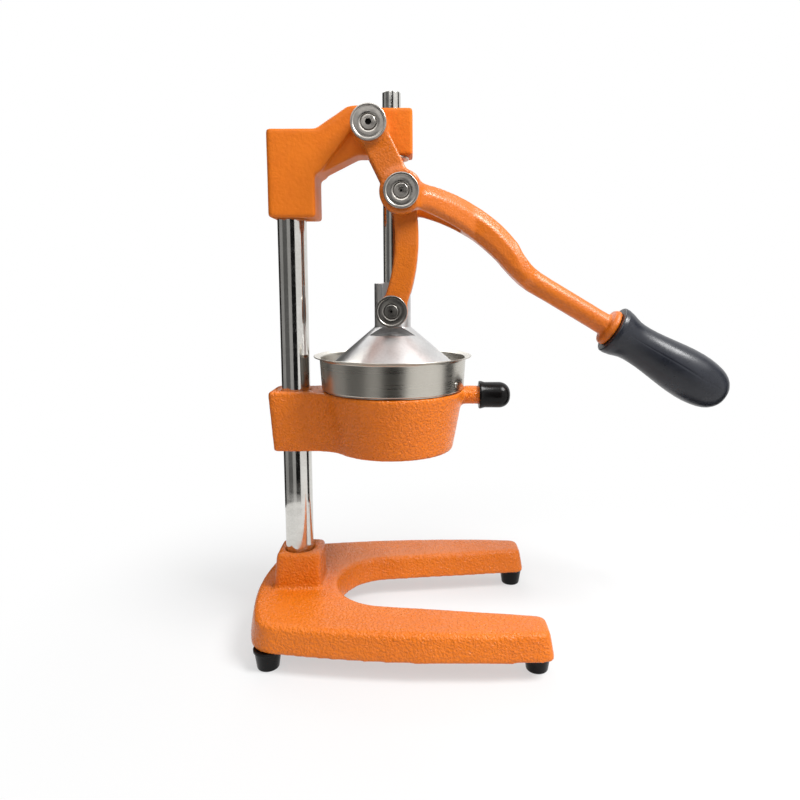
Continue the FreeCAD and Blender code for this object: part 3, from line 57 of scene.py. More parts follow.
# The part of a noise's range that a mask stretches over 0 to 1.
MASK_RANGE = (0.3, 0.7)
Point = tuple[float, float, float]
Colour = tuple[float, float, float, float]
Corner = tuple[float, ...]
WHITE: Colour = (1.0, 1.0, 1.0, 1.0)


class Side(Enum):
    """The two faces of the press that carry caps and screws."""

    FRONT = -1.0
    REAR = 1.0


class Slot(Enum):
    """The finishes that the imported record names."""

    PAINT = "orange_paint"
    RUBBER = "rubber"
    GRIP = "grip"
    CHROME = "chrome"
    STEEL = "steel"
    SHEET = "sheet"
    ALUMINIUM = "cast_aluminium"
    BRONZE = "bronze"


# ---------------------------------------------------------------- node trees


class NodeTree:
    """A node tree of any kind, with short calls to add, set and join its nodes."""

    def __init__(self, tree: bpy.types.NodeTree) -> None:
        """Keep the tree that this object fills."""
        self.tree = tree

    def add(self, kind: str, inputs: dict[str | int, object] | None = None,
            **settings: object) -> bpy.types.Node:
        """Add a node.

        Args:
            kind: The node's type name.
            inputs: Values or output sockets for the node's inputs, by name or place.
            **settings: Values of the node's own properties.

        Returns:
            The new node.
        """
        node = self.tree.nodes.new(kind)
        for name, value in settings.items():
            setattr(node, name, value)
        for name, value in (inputs or {}).items():
            socket = node.inputs[name]
            if isinstance(value, bpy.types.NodeSocket):
                self.link(value, socket)
            else:
                socket.default_value = value
        return node

    def link(self, value: bpy.types.NodeSocket, socket: bpy.types.NodeSocket) -> None:
        """Join an output socket to an input socket."""
        self.tree.links.new(value, socket)

    def maths(self, operation: str, *values: object) -> bpy.types.NodeSocket:
        """Work out one number from others.

        Args:
            operation: The Math node's operation.
            *values: Numbers or output sockets.

        Returns:
            The output socket of the result.
        """
        return self.add("ShaderNodeMath", dict(enumerate(values)), operation=operation).outputs[0]

    def noise(self, vector: bpy.types.NodeSocket, scale: object, detail: float = 2.0,
              roughness: float = 0.5) -> bpy.types.NodeSocket:
        """Return the factor of a noise texture."""
        return self.add("ShaderNodeTexNoise", {"Vector": vector, "Scale": scale, "Detail": detail,
                                               "Roughness": roughness}).outputs[0]

    def ramp(self, value: object, low: float, high: float, to_low: float = 0.0,
             to_high: float = 1.0) -> bpy.types.NodeSocket:
        """Return a value moved smoothly from one range to another."""
        return self.add("ShaderNodeMapRange", {0: value, 1: low, 2: high, 3: to_low, 4: to_high},
                        interpolation_type="SMOOTHSTEP").outputs[0]

    def mix(self, share: object, low: object, high: object) -> bpy.types.NodeSocket:
        """Return a colour mixed from two by a share."""
        return self.add("ShaderNodeMix", {"Factor": share, 6: low, 7: high},
                        data_type="RGBA").outputs[2]

    def socket(self, name: str, kind: str, value: object = None, output: bool = False) -> None:
        """Give the tree a named input, with its usual value, or a named output.

        Args:
            name: The socket's name.
            kind: Its type.
            value: The usual value of an input.
            output: Whether it is an output.
        """
        made = self.tree.interface.new_socket(name, in_out="OUTPUT" if output else "INPUT",
                                              socket_type=kind)
        if value is not None:
            made.default_value = value


def geometry_tree(name: str, inputs: Sequence[tuple[str, str, object]]) -> tuple[
        NodeTree, bpy.types.Node, bpy.types.Node]:
    """Start a Geometry Nodes tree.

    Args:
        name: The tree's name.
        inputs: Name, socket type and usual value of each input after the geometry.

    Returns:
        The tree, its Group Input node and its Group Output node.
    """
    tree = NodeTree(bpy.data.node_groups.new(name, "GeometryNodeTree"))
    tree.socket("Geometry", "NodeSocketGeometry")
    for label, kind, value in inputs:
        tree.socket(label, kind, value)
    tree.socket("Geometry", "NodeSocketGeometry", output=True)
    return tree, tree.add("NodeGroupInput"), tree.add("NodeGroupOutput")


def close_tree(tree: NodeTree, shape: bpy.types.NodeSocket, start: bpy.types.Node,
               end: bpy.types.Node) -> bpy.types.NodeTree:
    """Finish a Geometry Nodes tree with Realize Instances and Set Material.

    Args:
        tree: The tree to finish.
        shape: The geometry that it has made.
        start: Its Group Input node, which has a Material input.
        end: Its Group Output node.

    Returns:
        The finished tree.
    """
    real = tree.add("GeometryNodeRealizeInstances", {"Geometry": shape})
    dressed = tree.add("GeometryNodeSetMaterial", {"Geometry": real.outputs[0],
                                                   "Material": start.outputs["Material"]})
    tree.link(dressed.outputs[0], end.inputs[0])
    return tree.tree


def cast_form_tree() -> bpy.types.NodeTree:
    """Build the tree that rounds a casting's edges and makes its faces uneven.

    Returns:
        A tree with inputs Rounds, Drift, Drift Depth, Hammer, Hammer Depth and Material.
    """
    tree, start, end = geometry_tree("cast_form", [
        ("Rounds", "NodeSocketInt", 8),
        ("Drift", "NodeSocketFloat", 40.0),
        ("Drift Depth", "NodeSocketFloat", 0.0003),
        ("Hammer", "NodeSocketFloat", 420.0),
        ("Hammer Depth", "NodeSocketFloat", 0.0002),
        ("Material", "NodeSocketMaterial", None),
    ])
    spot = tree.add("GeometryNodeInputPosition").outputs[0]
    weight = tree.add("GeometryNodeInputNamedAttribute", {"Name": "soften"}, data_type="FLOAT")
    blur = tree.add("GeometryNodeBlurAttribute", {"Iterations": start.outputs["Rounds"]},
                    data_type="FLOAT_VECTOR")
    value = next(socket for socket in blur.inputs if socket.name == "Value" and socket.enabled)
    tree.link(spot, value)
    tree.link(weight.outputs[0], blur.inputs["Weight"])
    soft = next(socket for socket in blur.outputs if socket.enabled)
    rounded = tree.add("GeometryNodeSetPosition", {"Geometry": start.outputs[0], "Position": soft})
    drift = tree.maths("SUBTRACT", tree.noise(spot, start.outputs["Drift"], 1.0), 0.5)
    hammer = tree.maths("SUBTRACT", tree.noise(spot, start.outputs["Hammer"], 1.0), 0.5)
    depth = tree.maths("ADD", tree.maths("MULTIPLY", drift, start.outputs["Drift Depth"]),
                       tree.maths("MULTIPLY", hammer, start.outputs["Hammer Depth"]))
    normal = tree.add("GeometryNodeInputNormal").outputs[0]
    push = tree.add("ShaderNodeVectorMath", {0: normal, "Scale": depth}, operation="SCALE")
    uneven = tree.add("GeometryNodeSetPosition", {"Geometry": rounded.outputs[0],
                                                  "Offset": push.outputs[0]})
    smooth = tree.add("GeometryNodeSetShadeSmooth", {"Geometry": uneven.outputs[0]})
    return close_tree(tree, smooth.outputs[0], start, end)


def spread_tree() -> bpy.types.NodeTree:
    """Build the tree that puts one piece on each point, turned as the point says.

    Returns:
        A tree with inputs Piece and Material. Points carry the attribute turn.
    """
    tree, start, end = geometry_tree("spread", [
        ("Piece", "NodeSocketObject", None),
        ("Material", "NodeSocketMaterial", None),
    ])
    piece = tree.add("GeometryNodeObjectInfo", {"Object": start.outputs["Piece"]})
    turn = tree.add("GeometryNodeInputNamedAttribute", {"Name": "turn"}, data_type="FLOAT_VECTOR")
    angles = tree.add("FunctionNodeEulerToRotation", {0: turn.outputs[0]})
    put = tree.add("GeometryNodeInstanceOnPoints", {
        "Points": start.outputs[0], "Instance": piece.outputs["Geometry"],
        "Rotation": angles.outputs[0]})
    return close_tree(tree, put.outputs[0], start, end)


def ring_tree() -> bpy.types.NodeTree:
    """Build the tree that repeats a piece around an upright axis.

    Returns:
        A tree with inputs Count, Centre, Start and Material. It repeats its own geometry.
    """
    tree, start, end = geometry_tree("ring", [
        ("Count", "NodeSocketInt", 12),
        ("Centre", "NodeSocketVector", (0.0, 0.0, 0.0)),
        ("Start", "NodeSocketFloat", 0.0),
        ("Material", "NodeSocketMaterial", None),
    ])
    points = tree.add("GeometryNodePoints", {"Count": start.outputs["Count"],
                                             "Position": start.outputs["Centre"]})
    index = tree.add("GeometryNodeInputIndex").outputs[0]
    share = tree.maths("DIVIDE", tree.maths("MULTIPLY", index, 2 * math.pi),
                       start.outputs["Count"])
    angle = tree.maths("ADD", share, start.outputs["Start"])
    euler = tree.add("ShaderNodeCombineXYZ", {"Z": angle})
    turn = tree.add("FunctionNodeEulerToRotation", {0: euler.outputs[0]})
    put = tree.add("GeometryNodeInstanceOnPoints", {
        "Points": points.outputs[0], "Instance": start.outputs[0], "Rotation": turn.outputs[0]})
    return close_tree(tree, put.outputs[0], start, end)


# ------------------------------------------------------------- shader groups


def shader_group(name: str, inputs: Sequence[tuple[str, str, object]],
                 outputs: Sequence[tuple[str, str]]) -> tuple[
                     NodeTree, bpy.types.Node, bpy.types.Node]:
    """Start a shader node group.

    Args:
        name: The group's name.
        inputs: Name, socket type and usual value of each input.
        outputs: Name and socket type of each output.

    Returns:
        The group, its Group Input node and its Group Output node.
    """
    tree = NodeTree(bpy.data.node_groups.new(name, "ShaderNodeTree"))
    for label, kind, value in inputs:
        tree.socket(label, kind, value)
    for label, kind in outputs:
        tree.socket(label, kind, output=True)
    return tree, tree.add("NodeGroupInput"), tree.add("NodeGroupOutput")


def cast_skin_group() -> bpy.types.NodeTree:
    """Build the group for a hammered, painted casting: a fine height and a patchy mask.

    Returns:
        A group with inputs Vector, Scale and Pits, and outputs Height and Patch.
    """
    tree, start, end = shader_group("cast_skin", [
        ("Vector", "NodeSocketVector", None),
        ("Scale", "NodeSocketFloat", 300.0),
        ("Pits", "NodeSocketFloat", 0.3),
    ], [("Height", "NodeSocketFloat"), ("Patch", "NodeSocketFloat")])
    spot = start.outputs["Vector"]
    scale = start.outputs["Scale"]
    cell_scale, grain_scale, patch_scale = 0.55, 4.0, 0.08
    dimple_share, grain_share, pit_edge = 0.7, 0.12, 0.22
    dimples = tree.ramp(tree.noise(spot, scale, 2.0, 0.45), *MASK_RANGE)
    cells = tree.add("ShaderNodeTexVoronoi", {
        "Vector": spot, "Scale": tree.maths("MULTIPLY", scale, cell_scale), "Smoothness": 0.6},
        feature="SMOOTH_F1")
    pits = tree.ramp(cells.outputs["Distance"], 0.0, pit_edge)
    grain = tree.noise(spot, tree.maths("MULTIPLY", scale, grain_scale))
    height = tree.maths("ADD", tree.maths("MULTIPLY", dimples, dimple_share),
                        tree.maths("MULTIPLY", pits, start.outputs["Pits"]))
    height = tree.maths("ADD", height, tree.maths("MULTIPLY", grain, grain_share))
    wide = tree.noise(spot, tree.maths("MULTIPLY", scale, patch_scale), 3.0)
    tree.link(height, end.inputs["Height"])
    tree.link(tree.ramp(wide, *MASK_RANGE), end.inputs["Patch"])
    return tree.tree


def tone_group() -> bpy.types.NodeTree:
    """Build the group that lets a colour drift between two tones.

    Returns:
        A group with inputs Vector, Scale, Tone and Second Tone, and output Color.
    """
    tree, start, end = shader_group("tone_drift", [
        ("Vector", "NodeSocketVector", None),
        ("Scale", "NodeSocketFloat", 20.0),
        ("Tone", "NodeSocketColor", (0.5, 0.5, 0.5, 1.0)),
        ("Second Tone", "NodeSocketColor", (0.4, 0.4, 0.4, 1.0)),
    ], [("Color", "NodeSocketColor")])
    spot, scale = start.outputs["Vector"], start.outputs["Scale"]
    wide_share, fine_share, fine_scale = 0.65, 0.35, 11.0
    wide = tree.noise(spot, scale, 3.0)
    fine = tree.noise(spot, tree.maths("MULTIPLY", scale, fine_scale))
    share = tree.ramp(tree.maths("ADD", tree.maths("MULTIPLY", wide, wide_share),
                                 tree.maths("MULTIPLY", fine, fine_share)), 0.36, 0.64)
    mixed = tree.mix(share, start.outputs["Tone"], start.outputs["Second Tone"])
    tree.link(mixed, end.inputs["Color"])
    return tree.tree


def turned_group() -> bpy.types.NodeTree:
    """Build the group for the fine rings that turning and brushing leave round an axis.

    Returns:
        A group with inputs Vector and Scale, and outputs Height and Streak. The rings lie
        round the Z axis of the vector that comes in.
    """
    tree, start, end = shader_group("turned_marks", [
        ("Vector", "NodeSocketVector", None),
        ("Scale", "NodeSocketFloat", 2500.0),
    ], [("Height", "NodeSocketFloat"), ("Streak", "NodeSocketFloat")])
    wheel, radius_share, wide_scale = 1.2 * MM, 0.8, 0.18
    x, y, z = tree.add("ShaderNodeSeparateXYZ", {0: start.outputs["Vector"]}).outputs
    radius = tree.maths("SQRT", tree.maths("ADD", tree.maths("MULTIPLY", x, x),
                                           tree.maths("MULTIPLY", y, y)))
    angle = tree.maths("ARCTAN2", y, x)
    place = tree.add("ShaderNodeCombineXYZ", {
        "X": tree.maths("MULTIPLY", tree.maths("COSINE", angle), wheel),
        "Y": tree.maths("MULTIPLY", tree.maths("SINE", angle), wheel),
        "Z": tree.maths("ADD", tree.maths("MULTIPLY", radius, radius_share), z)})
    fine = tree.noise(place.outputs[0], start.outputs["Scale"], 2.0, 0.6)
    wide = tree.noise(place.outputs[0], tree.maths("MULTIPLY", start.outputs["Scale"], wide_scale))
    tree.link(fine, end.inputs["Height"])
    tree.link(tree.ramp(wide, *MASK_RANGE), end.inputs["Streak"])
    return tree.tree


# ------------------------------------------------------------------ finishes


@dataclass(frozen=True)
class Groups:
    """The shader groups and geometry trees that are built once."""

    cast_skin: bpy.types.NodeTree
    tone: bpy.types.NodeTree
    turned: bpy.types.NodeTree
    cast_form: bpy.types.NodeTree
    spread: bpy.types.NodeTree
    ring: bpy.types.NodeTree


@dataclass(frozen=True)
class Finish:
    """What every finish has: a name, two tones, a range of roughness and a fine relief."""

    name: str
    tone: Colour
    second_tone: Colour
    roughness: tuple[float, float]
    bump: float
    bump_depth: float
    metallic: float = 0.0
    tone_scale: float = 20.0
    specular: float = 0.5

    def start(self, groups: Groups) -> tuple[bpy.types.Material, NodeTree, bpy.types.Node,
                                             bpy.types.NodeSocket]:
        """Make the material with its Principled shader and drifting colour.

        Args:
            groups: The shader groups of the scene.

        Returns:
            The material, its tree, the Principled node and the Object coordinates.
        """
        material = bpy.data.materials.new(self.name)
        material.use_nodes = True
        tree = NodeTree(material.node_tree)
        shader = material.node_tree.nodes["Principled BSDF"]
        shader.inputs["Metallic"].default_value = self.metallic
        shader.inputs["Specular IOR Level"].default_value = self.specular
        spot = tree.add("ShaderNodeTexCoord").outputs["Object"]
        tone = tree.add("ShaderNodeGroup", {
            "Vector": spot, "Scale": self.tone_scale, "Tone": self.tone,
            "Second Tone": self.second_tone}, node_tree=groups.tone)
        tree.link(tone.outputs["Color"], shader.inputs["Base Color"])
        return material, tree, shader, spot

    def surface(self, tree: NodeTree, shader: bpy.types.Node, height: bpy.types.NodeSocket,
                mask: bpy.types.NodeSocket) -> None:
        """Drive the shader's normal by a height and its roughness by a mask.

        Args:
            tree: The material's tree.
            shader: Its Principled node.
            height: The height of the relief.
            mask: 0 where the surface is smoothest and 1 where it is roughest.
        """
        bump = tree.add("ShaderNodeBump", {"Strength": self.bump, "Distance": self.bump_depth,
                                           "Height": height})
        tree.link(bump.outputs[0], shader.inputs["Normal"])
        tree.link(tree.ramp(mask, 0.0, 1.0, *self.roughness), shader.inputs["Roughness"])


@dataclass(frozen=True)
class CastPaint(Finish):
    """Thick orange paint on a rough casting."""

    bump_depth: float = 0.6 * MM
    tone_scale: float = 18.0
    skin_scale: float = 330.0
    pits: float = 0.3
    coat: float = 0.08
    coat_roughness: float = 0.2

    def material(self, groups: Groups) -> bpy.types.Material:
        """Make the painted material.

        Args:
            groups: The shader groups of the scene.

        Returns:
            The material.
        """
        material, tree, shader, spot = self.start(groups)
        shader.inputs["Coat Weight"].default_value = self.coat
        shader.inputs["Coat Roughness"].default_value = self.coat_roughness
        skin = tree.add("ShaderNodeGroup", {
            "Vector": spot, "Scale": self.skin_scale, "Pits": self.pits},
            node_tree=groups.cast_skin)
        self.surface(tree, shader, skin.outputs["Height"], skin.outputs["Patch"])
        return material


@dataclass(frozen=True)
class TurnedMetal(Finish):
    """Metal with fine rings round an axis through a given point."""

    bump: float = 0.15
    bump_depth: float = 0.05 * MM
    metallic: float = 1.0
    tone_scale: float = 60.0
    centre: Point = (0.0, 0.0, 0.0)
    axis_turn: Point = (0.0, 0.0, 0.0)
    marks: float = 2500.0
    # Painted shade in a screw's sunk socket: its radius, its dark tone and the edge where it fades
    # out.
    socket_shade_radius: float = 0.0
    socket_shade_tone: Colour = (0.012, 0.011, 0.01, 1.0)
    socket_shade_edge: tuple[float, float] = (0.92, 1.06)

    def material(self, groups: Groups) -> bpy.types.Material:
        """Make the turned material, its rings round the finish's own axis.

        Args:
            groups: The shader groups of the scene.

        Returns:
            The material.
        """
        material, tree, shader, spot = self.start(groups)
        placed = tree.add("ShaderNodeMapping", {"Vector": spot, "Location": self.centre,
                                                "Rotation": self.axis_turn}, vector_type="TEXTURE")
        rings = tree.add("ShaderNodeGroup", {"Vector": placed.outputs[0], "Scale": self.marks},
                         node_tree=groups.turned)
        self.surface(tree, shader, rings.outputs["Height"], rings.outputs["Streak"])
        # Paint shade into the middle, where the screw's socket lies.
        if self.socket_shade_radius:
            self.paint_socket_shade(tree, shader, placed.outputs[0])
        return material

    def paint_socket_shade(self, tree: NodeTree, shader: bpy.types.Node,
                    spot: bpy.types.NodeSocket) -> None:
        """Paint shade into the sunk socket in the middle of a screw, round the finish's axis.

        Args:
            tree: The material's tree.
            shader: Its Principled node.
            spot: The place, with the axis along Z.
        """
        parts = tree.add("ShaderNodeSeparateXYZ", {0: spot})
        flat = tree.add("ShaderNodeCombineXYZ", {"X": parts.outputs[0], "Y": parts.outputs[1]})
        out = tree.add("ShaderNodeVectorMath", {0: flat.outputs[0]}, operation="LENGTH")
        low, high = (self.socket_shade_radius * share for share in self.socket_shade_edge)
        tone = shader.inputs["Base Color"].links[0].from_socket
        mixed = tree.mix(tree.ramp(out.outputs["Value"], low, high), self.socket_shade_tone, tone)
        tree.link(mixed, shader.inputs["Base Color"])


@dataclass(frozen=True)
class MouldedRubber(Finish):
    """Soft moulded rubber with a fine, even grain."""

    grain: float = 1800.0
    patch_share: float = 0.03

    def material(self, groups: Groups) -> bpy.types.Material:
        """Make the rubber material.

        Args:
            groups: The shader groups of the scene.

        Returns:
            The material.
        """
        material, tree, shader, spot = self.start(groups)
        mask = tree.ramp(tree.noise(spot, self.grain * self.patch_share, 3.0), *MASK_RANGE)
        self.surface(tree, shader, tree.noise(spot, self.grain), mask)
        return material


def shaded(share: float, tone: Sequence[float]) -> Colour:
    """Return a tone of three parts, multiplied by a share, as a full colour."""
    return (*(share * part for part in tone), 1.0)


def orange(name: str, roughness: tuple[float, float], skin_scale: float, bump: float,
           shade: float = 1.0, specular: float = 0.3) -> CastPaint:
    """Describe the orange paint as it lies on one casting.

    Args:
        name: The material's name.
        roughness: The paint's smoothest and roughest value.
        skin_scale: How fine the hammered skin is.
        bump: How strongly the skin shows.
        shade: The paint's share of the full orange; below 1 it paints shade into a darker copy of
            the same paint.
        specular: The level of its plain reflection.

    Returns:
        The finish.
    """
    return CastPaint(name, shaded(shade, (0.74, 0.175, 0.008)), shaded(shade, (0.7, 0.158, 0.007)),
                     roughness, bump, specular=specular, skin_scale=skin_scale)


# All castings carry one orange paint. The holder, head and lever (with the links) take darker
# copies of it, which paint in the shade that falls on them.
BASE_PAINT = orange("orange_paint_base", (0.2, 0.32), 640.0, 1.0)
HOLDER_PAINT = orange("orange_paint_holder", (0.2, 0.32), 620.0, 1.0, shade=0.95)
HEAD_PAINT = orange("orange_paint_head", (0.46, 0.6), 420.0, 0.22, shade=0.93, specular=0.2)
LEVER_PAINT = orange("orange_paint_lever", (0.28, 0.42), 700.0, 0.32, shade=0.77, specular=0.4)
BLACK_RUBBER = MouldedRubber(
    "black_rubber", (0.005, 0.0046, 0.0046, 1.0), (0.003, 0.0026, 0.0026, 1.0), (0.2, 0.32),
    bump=0.2, bump_depth=0.1 * MM, specular=0.16)
GRIP_RUBBER = MouldedRubber(
    "grip_rubber", (0.015, 0.0168, 0.0235, 1.0), (0.011, 0.0125, 0.018, 1.0), (0.26, 0.36),
    bump=0.05, bump_depth=0.08 * MM, specular=0.4, grain=2600.0)


@dataclass
class Materials:
    """Every material of the press, made once from its finish."""

    groups: Groups
    column_x: float
    ram_x: float
    made: dict[str, bpy.types.Material] = field(default_factory=dict)

    def make(self, finish: CastPaint | TurnedMetal | MouldedRubber) -> bpy.types.Material:
        """Make a finish's material at its first use.

        Args:
            finish: The finish.

        Returns:
            The material.
        """
        if finish.name not in self.made:
            self.made[finish.name] = finish.material(self.groups)
        return self.made[finish.name]

    def chrome(self, name: str, centre_x: float) -> bpy.types.Material:
        """Return polished chrome for an upright bar."""
        return self.make(TurnedMetal(name, (0.66, 0.645, 0.61, 1.0), (0.58, 0.565, 0.53, 1.0),
                                     (0.07, 0.16), 0.06, centre=(centre_x, 0.0, 0.0), marks=900.0))

    def steel(self, name: str, centre: Point, axis_turn: Point = (0.0, 0.0, 0.0),
              shade: float = 1.0, socket_shade_radius: float = 0.0) -> bpy.types.Material:
        """Return machined steel with rings round one axis.

        Args:
            name: The material's name.
            centre: A point of the axis.
            axis_turn: The axis's turn from upright, as Euler angles.
            shade: The steel's share of its full tone, which paints shade below 1 and light above 1.
            socket_shade_radius: The radius of the painted shade in the screws' sockets, or 0 for
                none.

        Returns:
            The material.
        """
        return self.make(TurnedMetal(
            name, shaded(shade, (0.46, 0.435, 0.4)), shaded(shade, (0.37, 0.345, 0.315)),
            (0.26, 0.42), 0.3, centre=centre, axis_turn=axis_turn, marks=2200.0,
            socket_shade_radius=socket_shade_radius))

    def screw_steel(self) -> bpy.types.Material:
        """Return the steel of the set screws and the base's fixings."""
        return self.steel("screw_steel", (self.column_x, 0.0, 0.0))

    def pin_steel(self) -> bpy.types.Material:
        """Return the steel of the pins that lie across the press."""
        return self.steel("pin_steel", (self.ram_x, 0.0, 0.0), (QUARTER_TURN, 0.0, 0.0))

    def ram_metal(self, name: str, tone: Colour, second_tone: Colour,
                  roughness: tuple[float, float], bump: float, marks: float) -> bpy.types.Material:
        """Return metal with its rings round the ram's axis."""
        return self.make(TurnedMetal(name, tone, second_tone, roughness, bump,
                                     centre=(self.ram_x, 0.0, 0.0), marks=marks))

    def sheet(self) -> bpy.types.Material:
        """Return brushed sheet steel."""
        return self.ram_metal("brushed_sheet", (0.57, 0.54, 0.48, 1.0), (0.54, 0.51, 0.452, 1.0),
                              (0.27, 0.3), 0.03, 3000.0)

    def aluminium(self) -> bpy.types.Material:
        """Return satin cast aluminium with faint turning marks."""
        return self.ram_metal("cast_aluminium", (0.66, 0.655, 0.65, 1.0), (0.56, 0.555, 0.55, 1.0),
                              (0.3, 0.45), 0.22, 1300.0)

    def bronze(self) -> bpy.types.Material:
        """Return the pale bronze of the ram's bush."""
        return self.ram_metal("pale_bronze", (0.68, 0.52, 0.43, 1.0), (0.6, 0.45, 0.36, 1.0),
                              (0.3, 0.42), 0.15, 2000.0)

    def joint_steel(self, joint: str) -> bpy.types.Material:
        """Return the steel of one pivot's caps and screws, with its rings round that pivot, as a
        copy painted darker for the link and lighter for the others.

        Args:
            joint: The pivot's name.

        Returns:
            The material.
        """
        spot = middle(joint + "_cap_front")
        # Lit and shaded copies of one steel: painted shade on the link's caps and screws, painted
        # light on the others.
        shade = 0.66 if joint == "link" else 1.1
        # The radius of the painted socket shade at this pivot.
        socket_shade = (2.1 if joint == "head_pivot" else 0.9) * MM
        return self.steel(joint + "_steel", (spot.x, 0.0, spot.z), (QUARTER_TURN, 0.0, 0.0),
                          shade, socket_shade)


# -------------------------------------------------------------------- shapes


def new_object(name: str, mesh: bpy.types.Mesh) -> bpy.types.Object:
    """Put a mesh in the scene under a name, at the origin.

    Args:
        name: The name of both the object and the mesh.
        mesh: The mesh.

    Returns:
        The object.
    """
    mesh.name = name
    item = bpy.data.objects.new(name, mesh)
    bpy.context.scene.collection.objects.link(item)
    return item


def drop(item: bpy.types.Object) -> None:
    """Remove an object and its mesh.

    Args:
        item: The object.
    """
    spare = item.data
    bpy.data.objects.remove(item)
    bpy.data.meshes.remove(spare)


def settle(item: bpy.types.Object) -> None:
    """Put what an object's modifiers make in place of its mesh, and take them away.

    Args:
        item: The object.
    """
    graph = bpy.context.evaluated_depsgraph_get()
    mesh = bpy.data.meshes.new_from_object(item.evaluated_get(graph), preserve_all_data_layers=True,
                                           depsgraph=graph)
    item.modifiers.clear()
    old = item.data
    item.data = mesh
    bpy.data.meshes.remove(old)
    mesh.name = item.name


def grown(item: bpy.types.Object, tree: bpy.types.NodeTree, **values: object) -> None:
    """Run a Geometry Nodes tree on an object and keep the plain result.

    Args:
        item: The object whose mesh goes in.
        tree: The Geometry Nodes tree.
        **values: The tree's inputs, by name with blanks written as underscores.
    """
    modifier = item.modifiers.new("shape", "NODES")
    modifier.node_group = tree
    named = {socket.name.replace(" ", "_").lower(): socket.identifier
             for socket in tree.interface.items_tree
             if socket.item_type == "SOCKET" and socket.in_out == "INPUT"}
    for name, value in values.items():
        modifier[named[name]] = value
    settle(item)


def crisp(mesh: bpy.types.Mesh) -> None:
    """Shade a mesh smooth, with edges crisp past an angle."""
    mesh.shade_smooth()
    mesh.set_sharp_from_angle(angle=CRISP_ANGLE)


def facing_out(mesh: bpy.types.Mesh) -> bpy.types.Mesh:
    """Merge doubles, turn every face outwards and keep sharp edges crisp.

    Args:
        mesh: The mesh, which this function changes.

    Returns:
        The same mesh.
    """
    form = bmesh.new()
    form.from_mesh(mesh)
    bmesh.ops.remove_doubles(form, verts=form.verts, dist=0.002 * MM)
    bmesh.ops.recalc_face_normals(form, faces=form.faces)
    form.to_mesh(mesh)
    form.free()
    crisp(mesh)
    return mesh


def filleted(corners: Sequence[Corner], closed: bool = False,
             step: float = 12.0) -> list[tuple[float, float]]:
    """Round the corners of an outline.

    Args:
        corners: Two coordinates each, with the radius of the corner as a third where it is round.
        closed: Whether the outline comes back to its start.
        step: Degrees of arc for each short run.

    Returns:
        The outline's points, with an arc at each rounded corner.
    """
    points: list[tuple[float, float]] = []
    count = len(corners)
    most_of_half, nearly_straight = 0.49, math.pi - 0.02
    for place, corner in enumerate(corners):
        spot = Vector(corner[:2])
        radius = corner[2] if len(corner) > 2 else 0.0
        at_end = not closed and place in (0, count - 1)
        to_last = Vector(corners[place - 1][:2]) - spot
        to_next = Vector(corners[(place + 1) % count][:2]) - spot
        room = most_of_half * min(to_last.length, to_next.length)
        to_last.normalize()
        to_next.normalize()
        inside = math.acos(max(-1.0, min(1.0, to_last.dot(to_next))))
        if radius <= 0 or at_end or inside > nearly_straight:
            points.append((spot.x, spot.y))
            continue
        reach = min(room, radius / math.tan(inside / 2))
        radius = reach * math.tan(inside / 2)
        centre = spot + (to_last + to_next).normalized() * (radius / math.sin(inside / 2))
        first = spot + to_last * reach - centre
        last = spot + to_next * reach - centre
        sweep = math.pi - inside
        turn = math.copysign(sweep, first.x * last.y - first.y * last.x)
        runs = max(2, round(math.degrees(sweep) / step))
        for number in range(runs + 1):
            angle = turn * number / runs
            points.append((centre.x + first.x * math.cos(angle) - first.y * math.sin(angle),
                           centre.y + first.x * math.sin(angle) + first.y * math.cos(angle)))
    return points


def turned_mesh(outline: Sequence[tuple[float, float]], segments: int,
                ripple: Callable[[float, float, float], float] | None = None) -> bpy.types.Mesh:
    """Turn an outline round the Z axis into a closed mesh.

    Args:
        outline: Radius and height of each point. Points at no radius become poles, and an
            outline that starts and ends away from the axis is joined into a ring.
        segments: Faces round the axis.
        ripple: Gives each point's radius from its radius, height and angle.

    Returns:
        The mesh, its faces outwards.
    """
    mesh = bpy.data.meshes.new("turning")
    form = bmesh.new()
    rows: list[list[bmesh.types.BMVert]] = []
    on_axis = 0.0001 * MM
    for radius, height in outline:
        if radius < on_axis:
            rows.append([form.verts.new((0.0, 0.0, height))])
            continue
        row = []
        for number in range(segments):
            angle = 2 * math.pi * number / segments
            real = ripple(radius, height, angle) if ripple else radius
            row.append(form.verts.new((real * math.cos(angle), real * math.sin(angle), height)))
        rows.append(row)
    ring = len(rows[0]) > 1 and len(rows[-1]) > 1
    pairs = list(zip(rows, rows[1:])) + ([(rows[-1], rows[0])] if ring else [])
    for low, high in pairs:
        for number in range(segments):
            after = (number + 1) % segments
            loop = [low[number % len(low)], low[after % len(low)],
                    high[after % len(high)], high[number % len(high)]]
            loop = [v for k, v in enumerate(loop) if v not in loop[:k]]
            if len(loop) > 2:
                form.faces.new(loop)
    form.to_mesh(mesh)
    form.free()
    return facing_out(mesh)


def turned_piece(name: str, mesh: bpy.types.Mesh, place: Sequence[float],
                 along: Sequence[float] = (0, 0, 1)) -> bpy.types.Object:
    """Make an object of a mesh turned round Z, its axis through a place and along a line.

    Args:
        name: The object's name.
        mesh: The turned mesh.
        place: Where the mesh's own origin goes.
        along: Where its Z axis points.

    Returns:
        The object.
    """
    turn = Vector((0, 0, 1)).rotation_difference(Vector(along).normalized()).to_matrix().to_4x4()
    mesh.transform(Matrix.Translation(Vector(place)) @ turn)
    return new_object(name, mesh)


